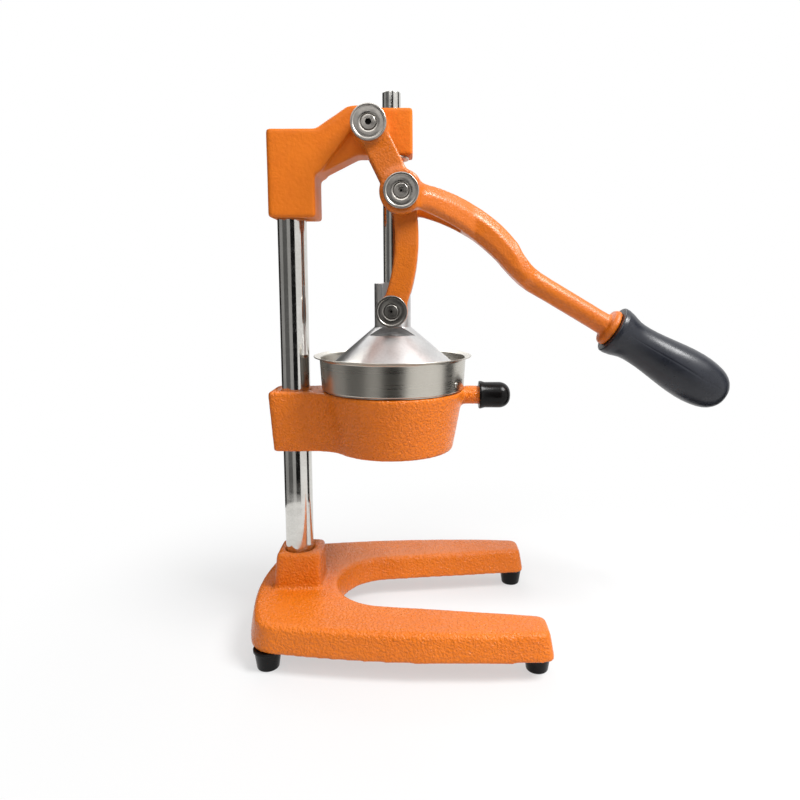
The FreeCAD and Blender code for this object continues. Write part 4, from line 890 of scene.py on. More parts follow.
def prism_mesh(outline: Sequence[tuple[float, float]], low: float, high: float) -> bpy.types.Mesh:
    """Raise a flat outline in x and y into a closed prism.

    Args:
        outline: The outline's points.
        low: The height of its floor.
        high: The height of its roof.

    Returns:
        The mesh, its faces outwards.
    """
    mesh = bpy.data.meshes.new("prism")
    form = bmesh.new()
    floor = [form.verts.new((x, y, low)) for x, y in outline]
    roof = [form.verts.new((x, y, high)) for x, y in outline]
    form.faces.new(floor[::-1])
    form.faces.new(roof)
    for number in range(len(outline)):
        after = (number + 1) % len(outline)
        form.faces.new((floor[number], floor[after], roof[after], roof[number]))
    form.to_mesh(mesh)
    form.free()
    return facing_out(mesh)


def cut(item: bpy.types.Object, tool: bpy.types.Object, operation: str = "DIFFERENCE") -> None:
    """Cut one closed object with another, or join them, and drop the tool.

    Args:
        item: The object that stays.
        tool: The object that is used up.
        operation: The Boolean modifier's operation.
    """
    modifier = item.modifiers.new("cut", "BOOLEAN")
    modifier.operation = operation
    modifier.solver = "EXACT"
    modifier.object = tool
    settle(item)
    drop(tool)
    crisp(item.data)


def merged_copy(node: str, name: str) -> bpy.types.Object:
    """Copy a CAD node, with its loose triangles merged.

    Args:
        node: The node's name.
        name: The copy's name.

    Returns:
        The copy.
    """
    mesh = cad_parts[node].data.copy()
    mesh.materials.clear()
    form = bmesh.new()
    form.from_mesh(mesh)
    bmesh.ops.remove_doubles(form, verts=form.verts, dist=0.001 * MM)
    form.to_mesh(mesh)
    form.free()
    for layer in list(mesh.attributes):
        if layer.name == "custom_normal":
            mesh.attributes.remove(layer)
    crisp(mesh)
    return new_object(name, mesh)


def middle(node: str) -> Vector:
    """Return the middle of a CAD node's box."""
    low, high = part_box(node)
    return (low + high) / 2


def dressed(item: bpy.types.Object, material: bpy.types.Material) -> None:
    """Give an object one material."""
    item.data.materials.clear()
    item.data.materials.append(material)


def finish_piece(item: bpy.types.Object, material: bpy.types.Material, body: str, slot: Slot,
                 *nodes: str) -> None:
    """Dress a finished piece, let it ride on its body and stand for CAD nodes, and log it.

    Args:
        item: The piece.
        material: Its material.
        body: The body that it moves with.
        slot: The record's slot for its finish; not used.
        *nodes: The CAD nodes that it stands for.
    """
    dressed(item, material)
    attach(item, body)
    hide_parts(*nodes)
    LOG.info("%s: %d faces on %s", item.name, len(item.data.polygons), body)


def dress_nodes(material: bpy.types.Material, *nodes: str) -> None:
    """Give CAD nodes that stay a material.

    Args:
        material: The material.
        *nodes: The nodes' names.
    """
    for node in nodes:
        dressed(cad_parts[node], material)
        LOG.info("%s: kept from the frame", node)


def spread_piece(kit: Materials, name: str, mesh: bpy.types.Mesh,
                 places: Sequence[Sequence[float]], turns: Sequence[Point],
                 material: bpy.types.Material) -> bpy.types.Object:
    """Repeat a mesh at several places as one object, by the spread tree.

    Args:
        kit: The materials and trees.
        name: The object's name.
        mesh: The mesh, which is used up.
        places: Where its copies go.
        turns: Each copy's turn as Euler angles.
        material: The material of them all.

    Returns:
        The object.
    """
    pattern = new_object(name + "_pattern", mesh)
    points = bpy.data.meshes.new(name)
    points.from_pydata([tuple(place) for place in places], [], [])
    layer = points.attributes.new("turn", "FLOAT_VECTOR", "POINT")
    layer.data.foreach_set("vector", np.array(turns, np.float32).reshape(-1))
    item = new_object(name, points)
    grown(item, kit.groups.spread, piece=pattern, material=material)
    drop(pattern)
    crisp(item.data)
    return item


def get_places(item: bpy.types.Object) -> np.ndarray:
    """Read the places of an object's points.

    Args:
        item: The object.

    Returns:
        The places, one row each.
    """
    places = np.empty(len(item.data.vertices) * 3)
    item.data.vertices.foreach_get("co", places)
    return places.reshape(-1, 3)


def set_places(item: bpy.types.Object, places: np.ndarray) -> None:
    """Move an object's points to new places."""
    item.data.vertices.foreach_set("co", places.reshape(-1))
    item.data.update()


@dataclass
class Casting:
    """A painted casting: a CAD node with rounded edges and an uneven skin."""

    node: str
    name: str
    body: str
    voxel: float
    rounds: int
    hammer_depth: float
    drift_depth: float = 0.35 * MM
    drift: float = 40.0
    hammer: float = 400.0

    def build(self, kit: Materials, finish: CastPaint,
              soften: Callable[[np.ndarray], np.ndarray] = lambda places: np.ones(len(places)),
              reshape: Callable[[np.ndarray], np.ndarray] | None = None) -> None:
        """Make the casting in place of its node.

        Args:
            kit: The materials and trees.
            finish: The casting's paint.
            soften: Gives each point's share of rounding from its place.
            reshape: Gives each point's new place, before the edges are rounded.
        """
        paint = kit.make(finish)
        item = merged_copy(self.node, self.name)
        self.even(item)
        if reshape:
            set_places(item, reshape(get_places(item)))
            self.even(item)
        layer = item.data.attributes.new("soften", "FLOAT", "POINT")
        layer.data.foreach_set("value", soften(get_places(item)).astype(np.float32))
        grown(item, kit.groups.cast_form, rounds=self.rounds, drift=self.drift,
              drift_depth=self.drift_depth, hammer=self.hammer, hammer_depth=self.hammer_depth,
              material=paint)
        item.data.attributes.remove(item.data.attributes["soften"])
        self.keep_inside(item)
        finish_piece(item, paint, self.body, Slot.PAINT, self.node)

    def even(self, item: bpy.types.Object) -> None:
        """Give the casting an even mesh of small faces.

        Args:
            item: The casting.
        """
        remesh = item.modifiers.new("even", "REMESH")
        remesh.mode = "VOXEL"
        remesh.voxel_size = self.voxel
        settle(item)

    def keep_inside(self, item: bpy.types.Object) -> None:
        """Hold every point inside the node's box."""
        low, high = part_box(self.node)
        set_places(item, np.clip(get_places(item), np.array(low), np.array(high)))


# -------------------------------------------------------------- sub-assemblies


@dataclass
class Feet:
    """Four moulded feet with rounded toes and sunk screws."""

    flange: float = 10.0 * MM
    flange_height: float = 2.0 * MM
    body: float = 9.2 * MM
    toe: float = 7.4 * MM
    toe_round: float = 1.8 * MM
    well: float = 4.9 * MM
    well_depth: float = 4.5 * MM
    height: float = 14.2 * MM

    def build(self, kit: Materials) -> None:
        """Make the feet as one object that stands for the four nodes.

        Args:
            kit: The materials and trees.
        """
        shoulder = self.height - self.flange_height
        outline = filleted([
            (0.0, self.well_depth), (self.well, self.well_depth, 0.3 * MM),
            (self.well, 0.0, 0.6 * MM), (self.toe, 0.0, self.toe_round),
            (self.body, shoulder, 0.8 * MM), (self.flange, shoulder, 0.5 * MM),
            (self.flange, self.height, 0.4 * MM), (0.0, self.height)])
        nodes = ["foot_front_left", "foot_front_right", "foot_rear_left", "foot_rear_right"]
        places = [(*middle(node).xy, 0.0) for node in nodes]
        rubber = kit.make(BLACK_RUBBER)
        feet = spread_piece(kit, "rubber_feet", turned_mesh(outline, 64), places,
                            [(0.0, 0.0, 0.0)] * len(nodes), rubber)
        finish_piece(feet, rubber, "stand", Slot.RUBBER, *nodes)


@dataclass
class Base:
    """The U-shaped base casting with its pedestal, feet and fixings."""

    casting: Casting = field(default_factory=lambda: Casting(
        "base_casting", "cast_base", "stand", voxel=1.2 * MM, rounds=10, hammer_depth=0.3 * MM))

    def build(self, kit: Materials) -> None:
        """Make the base, its feet and the screws under them.

        Args:
            kit: The materials and trees.
        """
        self.casting.build(kit, BASE_PAINT)
        Feet().build(kit)
        dress_nodes(kit.screw_steel(), "foot_screws", "column_bolt", "column_washer")


@dataclass
class Column:
    """The chromed column."""

    chamfer: float = 0.8 * MM

    def build(self, kit: Materials) -> None:
        """Make the column as a fine turning in place of its node.

        Args:
            kit: The materials and trees.
        """
        low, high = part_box("column")
        radius = 0.5 * (high.x - low.x)
        outline = filleted([(0.0, low.z), (radius, low.z, self.chamfer),
                            (radius, high.z, self.chamfer), (0.0, high.z)])
        bar = turned_piece("column_bar", turned_mesh(outline, 128), (kit.column_x, 0.0, 0.0))
        finish_piece(bar, kit.chrome("column_chrome", kit.column_x), "stand", Slot.CHROME, "column")


@dataclass
class Head:
    """The cast head with the ram's bush and its clamp screws."""

    casting: Casting = field(default_factory=lambda: Casting(
        "head_casting", "cast_head", "stand", voxel=1.1 * MM, rounds=4, hammer_depth=0.08 * MM,
        drift_depth=0.25 * MM))
    lip: float = 0.4 * MM
    clearance: float = 0.05 * MM
    bush_wall: float = 1.4 * MM
    flange_height: float = 1.6 * MM

    def build(self, kit: Materials) -> None:
        """Make the head, the bush and the set screws.

        Args:
            kit: The materials and trees.
        """
        self.casting.build(kit, HEAD_PAINT)
        low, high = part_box("ram_bush")
        flange = 0.5 * (high.x - low.x)
        bore = ram_radius() + self.clearance
        sleeve = bore + self.bush_wall
        shelf = low.z + self.flange_height
        outline = filleted([
            (bore, low.z, self.lip), (flange, low.z, self.lip), (flange, shelf, self.lip),
            (sleeve, shelf), (sleeve, high.z, self.lip), (bore, high.z, self.lip)], closed=True)
        bush = turned_piece("ram_guide", turned_mesh(outline, 96), (kit.ram_x, 0.0, 0.0))
        finish_piece(bush, kit.bronze(), "stand", Slot.BRONZE, "ram_bush")
        dress_nodes(kit.screw_steel(), "head_set_screws")


def ram_radius() -> float:
    """Return the radius of the ram's rod."""
    low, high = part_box("ram_rod")
    return 0.5 * (high.y - low.y)


@dataclass
class Holder:
    """The cast bracket under the bowl, with the rubber cap on its stub."""

    casting: Casting = field(default_factory=lambda: Casting(
        "bowl_holder", "cast_holder", "stand", voxel=1.15 * MM, rounds=5, hammer_depth=0.35 * MM))
    mouth: float = 10.4 * MM
    mouth_length: float = 1.4 * MM
    flare_length: float = 4.2 * MM
    sleeve: float = 9.6 * MM
    wall: float = 2.4 * MM
    bore_share: float = 0.66
    round_end: float = 8.5 * MM
    dome_power: float = 0.8
    dome_rows: int = 19

    def build(self, kit: Materials) -> None:
        """Make the holder, the stub cap and the set screws.

        Args:
            kit: The materials and trees.
        """
        self.casting.build(kit, HOLDER_PAINT)
        low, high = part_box("stub_cap")
        length = high.x - low.x
        bore = self.sleeve - self.wall
        outline = filleted([
            (0.0, self.bore_share * length), (bore, self.bore_share * length),
            (bore, 0.0, 0.5 * MM), (self.mouth, 0.0, 0.8 * MM),
            (self.mouth, self.mouth_length, 0.8 * MM), (self.sleeve, self.flare_length, 2.0 * MM)])
        quarter = np.radians(np.linspace(0.0, 90.0, self.dome_rows))
        for turn in quarter[:-1]:
            outline.append((self.sleeve * math.cos(turn) ** self.dome_power,
                            length - self.round_end * (1.0 - math.sin(turn))))
        outline.append((0.0, length))
        cap = turned_piece("stub_sleeve", turned_mesh(outline, 96),
                           (low.x, 0.0, middle("stub_cap").z), (1, 0, 0))
        finish_piece(cap, kit.make(BLACK_RUBBER), "stand", Slot.RUBBER, "stub_cap")
        dress_nodes(kit.screw_steel(), "holder_set_screws")


@dataclass
class Bowl:
    """The strainer bowl of thin sheet, with its slots and rivets."""

    sheet: float = 1.0 * MM
    foot: float = 52.6 * MM
    wall: float = 53.9 * MM
    floor_rise: float = 1.2 * MM
    floor_hole: float = 24.0 * MM
    lip_drop: float = 2.4 * MM
    rim_height: float = 0.9 * MM
    slot_count: int = 24
    slot_inner: float = 41.0 * MM
    slot_outer: float = 48.5 * MM
    slot_half: float = 1.2 * MM
    dent_place: Point = (2.0 * MM, -54.0 * MM, 194.0 * MM)
    dent_reach: float = 5.0 * MM
    dent_depth: float = 0.5 * MM
    rivet_turn: float = -31.0
    rivet_head: float = 1.9 * MM
    rivet_rise: float = 0.9 * MM
    rivet_shank: float = 1.2 * MM
    rivet_depth: float = 2.0 * MM
    rivet_radius: float = 53.0 * MM
    rivet_height: float = 190.3 * MM

    def build(self, kit: Materials) -> None:
        """Make the bowl and its rivets.

        Args:
            kit: The materials and trees.
        """
        self.bowl(kit)
        self.rivets(kit)

    def bowl(self, kit: Materials) -> None:
        """Turn the bowl, cut the slots in its floor and press its small dent.

        Args:
            kit: The materials and trees.
        """
        low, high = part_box("strainer_bowl")
        rim = 0.5 * (high.y - low.y)
        floor = low.z + self.floor_rise
        wall_top = high.z - self.lip_drop
        foot, wall, thick = self.foot, self.wall, self.sheet
        outline = filleted([
            (self.floor_hole, floor), (foot - 3.4 * thick, floor, 0.4 * MM),
            (foot - 3.0 * thick, low.z, 0.5 * MM), (foot, low.z, 1.2 * MM),
            (wall, wall_top, 1.2 * MM), (rim, high.z - self.rim_height, 0.4 * MM),
            (rim, high.z, 0.4 * MM), (wall - 0.6 * thick, wall_top + 0.9 * thick, 1.0 * MM),
            (foot - 1.1 * thick, floor + thick, 1.2 * MM), (self.floor_hole, floor + thick)],
            closed=True)
        item = turned_piece("bowl_sheet", turned_mesh(outline, 144), (kit.ram_x, 0.0, 0.0))
        cut(item, self.slots(kit, floor - thick, floor + 2 * thick))
        self.dent(item, Vector(self.dent_place) + Vector((kit.ram_x, 0.0, 0.0)))
        finish_piece(item, kit.sheet(), "stand", Slot.SHEET, "strainer_bowl")

    def slots(self, kit: Materials, low: float, high: float) -> bpy.types.Object:
        """Repeat one slot's prism round the ram's axis.

        Args:
            kit: The materials and trees.
            low: The height of the prisms' floor.
            high: The height of their roof.

        Returns:
            The object that cuts the slots.
        """
        half = self.slot_half
        outline = filleted([(x, y, half) for x, y in (
            (self.slot_inner, -half), (self.slot_outer, -half),
            (self.slot_outer, half), (self.slot_inner, half))], closed=True, step=30.0)
        tool = new_object("slot_pattern", prism_mesh(outline, low, high))
        grown(tool, kit.groups.ring, count=self.slot_count, centre=(kit.ram_x, 0.0, 0.0),
              start=math.radians(self.rivet_turn), material=kit.sheet())
        return tool

    def dent(self, item: bpy.types.Object, spot: Vector) -> None:
        """Press a shallow dent in the sheet, towards its axis.

        Args:
            item: The bowl.
            spot: The middle of the dent.
        """
        for vertex in item.data.vertices:
            away = (vertex.co - spot).length / self.dent_reach
            if away < 1:
                vertex.co.y += self.dent_depth * (1 - away * away) ** 2

    def rivets(self, kit: Materials) -> None:
        """Put the two rivets through the bowl's wall.

        Args:
            kit: The materials and trees.
        """
        head, shank = self.rivet_head, self.rivet_shank
        outline = filleted([(0.0, -self.rivet_depth), (shank, -self.rivet_depth), (shank, 0.1 * MM),
                            (head, 0.15 * MM), (0.86 * head, 0.6 * MM, 0.4 * MM),
                            (0.0, self.rivet_rise)])
        places, turns = [], []
        for turn in (self.rivet_turn, self.rivet_turn + 180.0):
            angle = math.radians(turn)
            places.append((kit.ram_x + self.rivet_radius * math.cos(angle),
                           self.rivet_radius * math.sin(angle), self.rivet_height))
            turns.append((0.0, QUARTER_TURN, angle))
        heads = spread_piece(kit, "bowl_rivet_heads", turned_mesh(outline, 32), places, turns,
                             kit.sheet())
        finish_piece(heads, kit.sheet(), "stand", Slot.SHEET, "bowl_rivets")


@dataclass
class Funnel:
    """The funnel of thin sheet under the bowl."""

    rim_height: float = 1.0 * MM
    sheet: float = 0.9 * MM
    mouth: float = 44.8 * MM
    knee: float = 40.0 * MM
    knee_drop: float = 18.0 * MM
    neck: float = 9.5 * MM
    neck_drop: float = 39.0 * MM
    knee_round: float = 5.0 * MM
    neck_round: float = 3.0 * MM

    def build(self, kit: Materials) -> None:
        """Turn the funnel.

        Args:
            kit: The materials and trees.
        """
        low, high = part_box("juice_funnel")
        rim = 0.5 * (high.y - low.y)
        top = high.z - self.rim_height
        thick, mouth, knee, neck = self.sheet, self.mouth, self.knee, self.neck
        outline = filleted([
            (rim, top, 0.3 * MM), (rim, high.z, 0.3 * MM), (mouth, high.z, 1.0 * MM),
            (knee, high.z - self.knee_drop, self.knee_round),
            (neck, high.z - self.neck_drop, self.neck_round), (neck, low.z),
            (neck + thick, low.z),
            (neck + thick, high.z - self.neck_drop - 0.4 * MM, self.neck_round),
            (knee + thick, high.z - self.knee_drop - 0.6 * MM, self.knee_round),
            (mouth + thick, top, 1.0 * MM)], closed=True)
        item = turned_piece("funnel_sheet", turned_mesh(outline, 128), (kit.ram_x, 0.0, 0.0))
        finish_piece(item, kit.sheet(), "stand", Slot.SHEET, "juice_funnel")


@dataclass
class Reamer:
    """The cast reamer, its ridges running from its foot to its tip."""

    bore: float = 23.7 * MM
    foot_height: float = 3.0 * MM
    deck_height: float = 5.4 * MM
    dome: float = 29.5 * MM
    bulge: float = 4.6 * MM
    tip: float = 4.6 * MM
    tip_drop: float = 1.6 * MM
    rows: int = 26
    ridge_count: int = 8
    ridge_rise: float = 2.4 * MM
    ridge_power: float = 3.0
    groove: float = 0.5 * MM
    fade: float = 4.0 * MM

    def build(self, kit: Materials) -> None:
        """Turn the reamer with its ridges.

        Args:
            kit: The materials and trees.
        """
        low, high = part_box("reamer")
        base = 0.5 * (high.y - low.y)
        deck = low.z + self.deck_height
        foot = low.z + self.foot_height
        edge = 0.5 * MM

        def ridged(radius: float, height: float, angle: float) -> float:
            """Give a point of the dome its ridge or groove.

            Args:
                radius: The point's plain radius.
                height: Its height.
                angle: Its direction from the axis.

            Returns:
                Its real radius.
            """
            if height < deck - 0.1 * MM or radius < 0.5 * self.tip:
                return radius
            wave = 0.5 + 0.5 * math.cos(self.ridge_count * angle)
            fade = min(1.0, (high.z - height) / self.fade)
            ridge = self.ridge_rise * fade * wave ** self.ridge_power
            return radius + ridge - self.groove * (1 - wave)

        outline = [(0.0, low.z), (self.bore, low.z), (self.bore, foot), (base - edge, foot),
                   (base, foot + edge), (base, deck - 0.9 * MM), (base - edge, deck - 0.4 * MM),
                   (self.dome + 3.4 * MM, deck - 0.35 * MM)]
        for number in range(self.rows + 1):
            share = number / self.rows
            outline.append((self.tip + (self.dome - self.tip) * (1 - share)
                            + self.bulge * math.sin(math.pi * share),
                            deck + (high.z - self.tip_drop - deck) * share))
        outline += [(0.45 * self.tip, high.z - 0.4 * MM), (0.0, high.z)]
        item = turned_piece("ridged_reamer", turned_mesh(outline, 192, ridged),
                            (kit.ram_x, 0.0, 0.0))
        finish_piece(item, kit.aluminium(), "stand", Slot.ALUMINIUM, "reamer")


@dataclass
class CapSet:
    """The cap discs and socket screws of some pivots on one body."""

    joints: tuple[str, ...]
    body: str
    radius: float = 12.0 * MM
    thickness: float = 3.4 * MM
    rim_width: float = 1.5 * MM
    dish: float = 0.3 * MM
    seat: float = 5.6 * MM
    seat_depth: float = 2.2 * MM
    bore: float = 2.6 * MM
    screw_head: float = 4.9 * MM
    screw_rise: float = 2.0 * MM
    screw_shank: float = 2.5 * MM
    screw_length: float = 8.0 * MM
    socket: float = 2.2 * MM
    socket_depth: float = 1.4 * MM

    def build(self, kit: Materials) -> None:
        """Make the caps and screws on both faces of each joint.

        Args:
            kit: The materials and trees.
        """
        for joint in self.joints:
            places, turns, nodes = [], [], []
            for side in Side:
                node = "%s_cap_%s" % (joint, side.name.lower())
                low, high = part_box(node)
                seat = high.y if side is Side.FRONT else low.y
                places.append((middle(node).x, seat, middle(node).z))
                turns.append((-side.value * QUARTER_TURN, 0.0, 0.0))
                nodes.append(node)
            steel = kit.joint_steel(joint)
            caps = spread_piece(kit, joint + "_caps", self.cap(), places, turns, steel)
            finish_piece(caps, steel, self.body, Slot.STEEL, *nodes)
            lift = self.thickness - self.seat_depth
            seats = [(x, y + math.copysign(lift, y), z) for x, y, z in places]
            screws = spread_piece(kit, joint + "_socket_screws", self.screw(), seats, turns, steel)
            finish_piece(screws, steel, self.body, Slot.STEEL, joint + "_screws")

    def cap(self) -> bpy.types.Mesh:
        """Turn a cap disc with a raised rim, a dished face and a sunk seat.

        Returns:
            The mesh, standing on z = 0.
        """
        radius, top, seat = self.radius, self.thickness, self.seat
        floor = top - self.seat_depth
        return turned_mesh(filleted([
            (self.bore, 0.0), (radius - 0.5 * MM, 0.0, 0.3 * MM), (radius, 0.5 * MM, 0.3 * MM),
            (radius, top, 0.5 * MM), (radius - self.rim_width, top, 0.35 * MM),
            (radius - self.rim_width - 0.5 * MM, top - 0.45 * MM, 0.4 * MM),
            (seat + 0.9 * MM, top - self.dish, 0.4 * MM), (seat, top - 0.55 * MM, 0.3 * MM),
            (seat, floor), (self.bore, floor)], closed=True), 96)

    def screw(self) -> bpy.types.Mesh:
        """Turn a round-edged screw with a hexagonal socket.

        Returns:
            The mesh, its head standing on z = 0.
        """
        head, rise, shank = self.screw_head, self.screw_rise, self.screw_shank
        outline = filleted([
            (0.0, -self.screw_length), (shank, -self.screw_length, 0.3 * MM), (shank, 0.0),
            (head, 0.0, 0.2 * MM), (head, rise, 0.5 * MM), (0.0, rise)])
        item = new_object("screw_blank", turned_mesh(outline, 48))
        corners = [math.radians(60 * number) for number in range(6)]
        cut(item, new_object("screw_socket", prism_mesh(
            [(self.socket * math.cos(turn), self.socket * math.sin(turn)) for turn in corners],
            rise - self.socket_depth, rise + 1.0 * MM)))
        mesh = item.data.copy()
        drop(item)
        return mesh


@dataclass
class Lever:
    """The fork lever, its grip, pins, caps and screws."""

    casting: Casting = field(default_factory=lambda: Casting(
        "lever_casting", "cast_lever", "lever", voxel=1.0 * MM, rounds=5, hammer_depth=0.15 * MM,
        drift_depth=0.3 * MM))
    handle_angle: float = 30.5
    yoke_start: float = 12.0 * MM
    yoke_wide: float = 29.0 * MM
    yoke_taper: float = 19.0 / 40.0
    fork_wide: float = 20.4 * MM
    fork_start: float = 1.4 * MM
    fork_taper: float = 14.1 / 28.6
    crotch: float = 42.0 * MM
    arm_half: float = 10.0 * MM
    bar_start: float = 95.0 * MM
    top_bevel: float = 7.2 * MM
    top_bevel_in: float = 6.6 * MM
    low_bevel: float = 4.2 * MM
    low_bevel_in: float = 3.6 * MM
    bevel_start: float = 6.0 * MM
    bevel_end: float = 16.0 * MM
    bar: float = 8.2 * MM
    bar_reach: tuple[float, float] = (4.0 * MM, 16.0 * MM)
    facing: float = 1.05
    facing_start: float = 12.0 * MM
    step: float = 5.6 * MM
    neck: float = 69.0 * MM
    taper: float = 26.0 * MM
    flare: float = 13.4 * MM
    flare_power: float = 1.5
    root_reach: float = 22.0 * MM
    full_rounding: float = 15.0 * MM
    least_rounding: float = 0.35
    mouth: float = 18.2 * MM
    mouth_bevel: float = 1.0 * MM
    grip_bore: float = 6.1 * MM
    grip_depth: float = 62.0 * MM
    grip_length: float = 98.95 * MM
    grip_spine: tuple[tuple[float, float], ...] = (
        (11.0, 16.3), (15.0, 15.2), (19.0, 14.75), (24.0, 14.7), (30.0, 15.0), (37.0, 15.7),
        (45.0, 16.7), (53.0, 17.7), (61.0, 18.45), (68.0, 18.75), (74.0, 18.6), (80.0, 17.9),
        (85.0, 16.9), (89.0, 15.6), (92.0, 14.0), (94.5, 12.0), (96.5, 9.6), (98.0, 6.6),
        (98.8, 3.4))
    seam_run: tuple[float, float] = (9.0 * MM, 90.0 * MM)
    seam_height: float = 1.5 * MM
    seam_half: float = 0.32 * MM
    seam_depth: float = 0.25 * MM

    def build(self, kit: Materials) -> None:
        """Make the lever's casting, grip, caps and screws.

        Args:
            kit: The materials and trees.
        """
        start = middle("elbow_cap_front").x + self.yoke_start

        def soften(places: np.ndarray) -> np.ndarray:
            """Return full rounding on the ears and less of it on the bevelled arm."""
            share = 1.0 - (places[:, 0] - start) / self.full_rounding
            return np.clip(share, self.least_rounding, 1.0)

        self.casting.build(kit, LEVER_PAINT, soften, self.bevel)
        self.grip(kit)
        CapSet(("head_pivot", "elbow"), "lever").build(kit)
        dress_nodes(kit.pin_steel(), "head_pivot_pin", "elbow_pin_front", "elbow_pin_rear")

    def bevel(self, places: np.ndarray) -> np.ndarray:
        """Bevel the arm's long edges, face the bar and step its collar.

        Args:
            places: The places of the casting's points.

        Returns:
            Their new places.
        """
        spot = places.copy()
        along = spot[:, 0] - (middle("elbow_cap_front").x + self.yoke_start)
        span = self.bar_start - self.yoke_start
        arm = (along > 0) & (along < span)
        above, below = self.depths(spot, along, arm, int(span / MM))
        wide = np.clip(self.yoke_wide - along * self.yoke_taper, self.arm_half, None)
        into_fork = np.clip(along - self.fork_start, 0, None)
        inner = np.clip(self.fork_wide - into_fork * self.fork_taper, 0, None)
        inner[along > self.crotch - self.yoke_start] = 0.0
        fade = (np.clip(along / self.bevel_start, 0, 1)
                * np.clip((span - along) / self.bevel_end, 0, 1))
        top_cut = self.top_bevel_in * np.clip(1 - above / self.top_bevel, 0, 1)
        low_cut = self.low_bevel_in * np.clip(1 - below / self.low_bevel, 0, 1)
        side = np.abs(spot[:, 1])
        share = (wide - np.maximum(top_cut, low_cut) * fade - inner) / (wide - inner)
        moved = np.where(side > inner, inner + (side - inner) * share, side)
        spot[:, 1] = np.where(arm, np.sign(spot[:, 1]) * moved, spot[:, 1])
        return self.faced_bar(spot)

    def depths(self, spot: np.ndarray, along: np.ndarray, arm: np.ndarray,
               count: int) -> tuple[np.ndarray, np.ndarray]:
        """Measure how far each point lies below the arm's top edge and above its low edge.

        Args:
            spot: The places of the casting's points.
            along: How far each point is from the yoke's start.
            arm: Which points are on the arm.
            count: How many slices of a millimetre the arm is cut into.

        Returns:
            Both depths, square to the arm's top edge.
        """
        bins = np.clip((along / MM).astype(int), 0, count - 1)
        top, low = np.full(count, -1.0), np.full(count, 9.0)
        np.maximum.at(top, bins[arm], spot[arm, 2])
        np.minimum.at(low, bins[arm], spot[arm, 2])
        run = 9
        even_top = np.convolve(np.pad(top, run // 2, "edge"), np.ones(run) / run, "valid")
        slope = np.gradient(even_top, MM)
        lean = (1.0 / np.sqrt(1.0 + slope * slope))[bins]
        return (top[bins] - spot[:, 2]) * lean, (spot[:, 2] - low[bins]) * lean

    def faced_bar(self, spot: np.ndarray) -> np.ndarray:
        """Give the bar eight soft faces, the collar a clear step and the arm a tapered end.

        Args:
            spot: The places of the casting's points, which this method changes.

        Returns:
            The new places.
        """
        along, across = self.axes()
        reach = spot - np.array(self.collar_place())
        far = reach @ np.array(along)
        up = reach @ np.array(across)
        out = np.hypot(up, spot[:, 1])
        eighth = math.pi / 4
        off = np.mod(np.arctan2(up, spot[:, 1]) + eighth / 2, eighth) - eighth / 2
        faced = self.bar * math.cos(eighth / 2) * self.facing / np.cos(off)
        least, most = self.bar_reach
        bar = (far > -self.neck) & (far < -self.step) & (out > least) & (out < most)
        blend = np.clip((far + self.neck) / self.facing_start, 0, 1)
        radius = np.where(bar, out + (np.minimum(out, faced) - out) * blend, out)
        tiny = 1e-9
        share = np.where(out > tiny, radius / np.maximum(out, tiny), 1.0)
        spot[:, 1] *= share
        back = np.clip((-self.neck - far) / self.taper, 0, 1)
        room = self.facing * self.bar + self.flare * back ** self.flare_power
        rise = np.minimum(np.abs(up), 0.85 * room)
        half = np.minimum(np.abs(spot[:, 1]), np.sqrt(room * room - rise * rise))
        root = ((far > -self.neck - self.taper) & (far < self.facing_start - self.neck)
                & (np.abs(up) < self.root_reach))
        spot[:, 1] = np.where(root, np.sign(spot[:, 1]) * half, spot[:, 1])
        return spot + (up * share - up)[:, None] * np.array(across)

    def axes(self) -> tuple[Vector, Vector]:
        """Work out the directions of the bar.

        Returns:
            The direction along the bar and the one square to it, upwards.
        """
        angle = math.radians(self.handle_angle)
        return (Vector((math.cos(angle), 0.0, -math.sin(angle))),
                Vector((math.sin(angle), 0.0, math.cos(angle))))

    def collar_place(self) -> Vector:
        """Find where the bar's axis meets the grip's mouth.

        Returns:
            The place.
        """
        across = self.axes()[1]
        low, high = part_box("lever_grip")
        bevel = self.mouth_bevel
        return Vector((low.x + (self.mouth - bevel) * across.x, 0.0,
                       high.z - self.mouth * across.z + bevel * across.x))

    def grip(self, kit: Materials) -> None:
        """Turn the hand grip with its flared mouth, neck, swell and round end.

        Args:
            kit: The materials and trees.
        """
        along, across = self.axes()
        start = self.collar_place()
        mouth = self.mouth
        outline: list[Corner] = [
            (0.0, self.grip_depth), (self.grip_bore, self.grip_depth), (self.grip_bore, 0.0),
            (mouth - 0.2 * MM, 0.0, 1.2 * MM), (mouth - 0.1 * MM, 3.6 * MM, 1.6 * MM),
            (mouth - 1.0 * MM, 8.2 * MM, 1.4 * MM)]
        outline += [(radius * MM, height * MM) for height, radius in self.grip_spine]
        outline.append((0.0, self.grip_length))
        item = turned_piece("hand_grip", turned_mesh(filleted(outline), 192), start, along)
        self.seam(item, start, along, across)
        finish_piece(item, kit.make(GRIP_RUBBER), "lever", Slot.GRIP, "lever_grip")

    def seam(self, item: bpy.types.Object, start: Vector, along: Vector, across: Vector) -> None:
        """Press the fine mould seam into both sides of the grip.

        Args:
            item: The grip.
            start: Where its axis meets its mouth.
            along: The direction of its axis.
            across: The direction square to it, upwards.
        """
        first, last = self.seam_run
        for vertex in item.data.vertices:
            reach = vertex.co - start
            near = abs(reach.dot(across) - self.seam_height) < self.seam_half
            if first < reach.dot(along) < last and near and abs(vertex.co.y) > 8 * MM:
                vertex.co.y -= math.copysign(self.seam_depth, vertex.co.y)


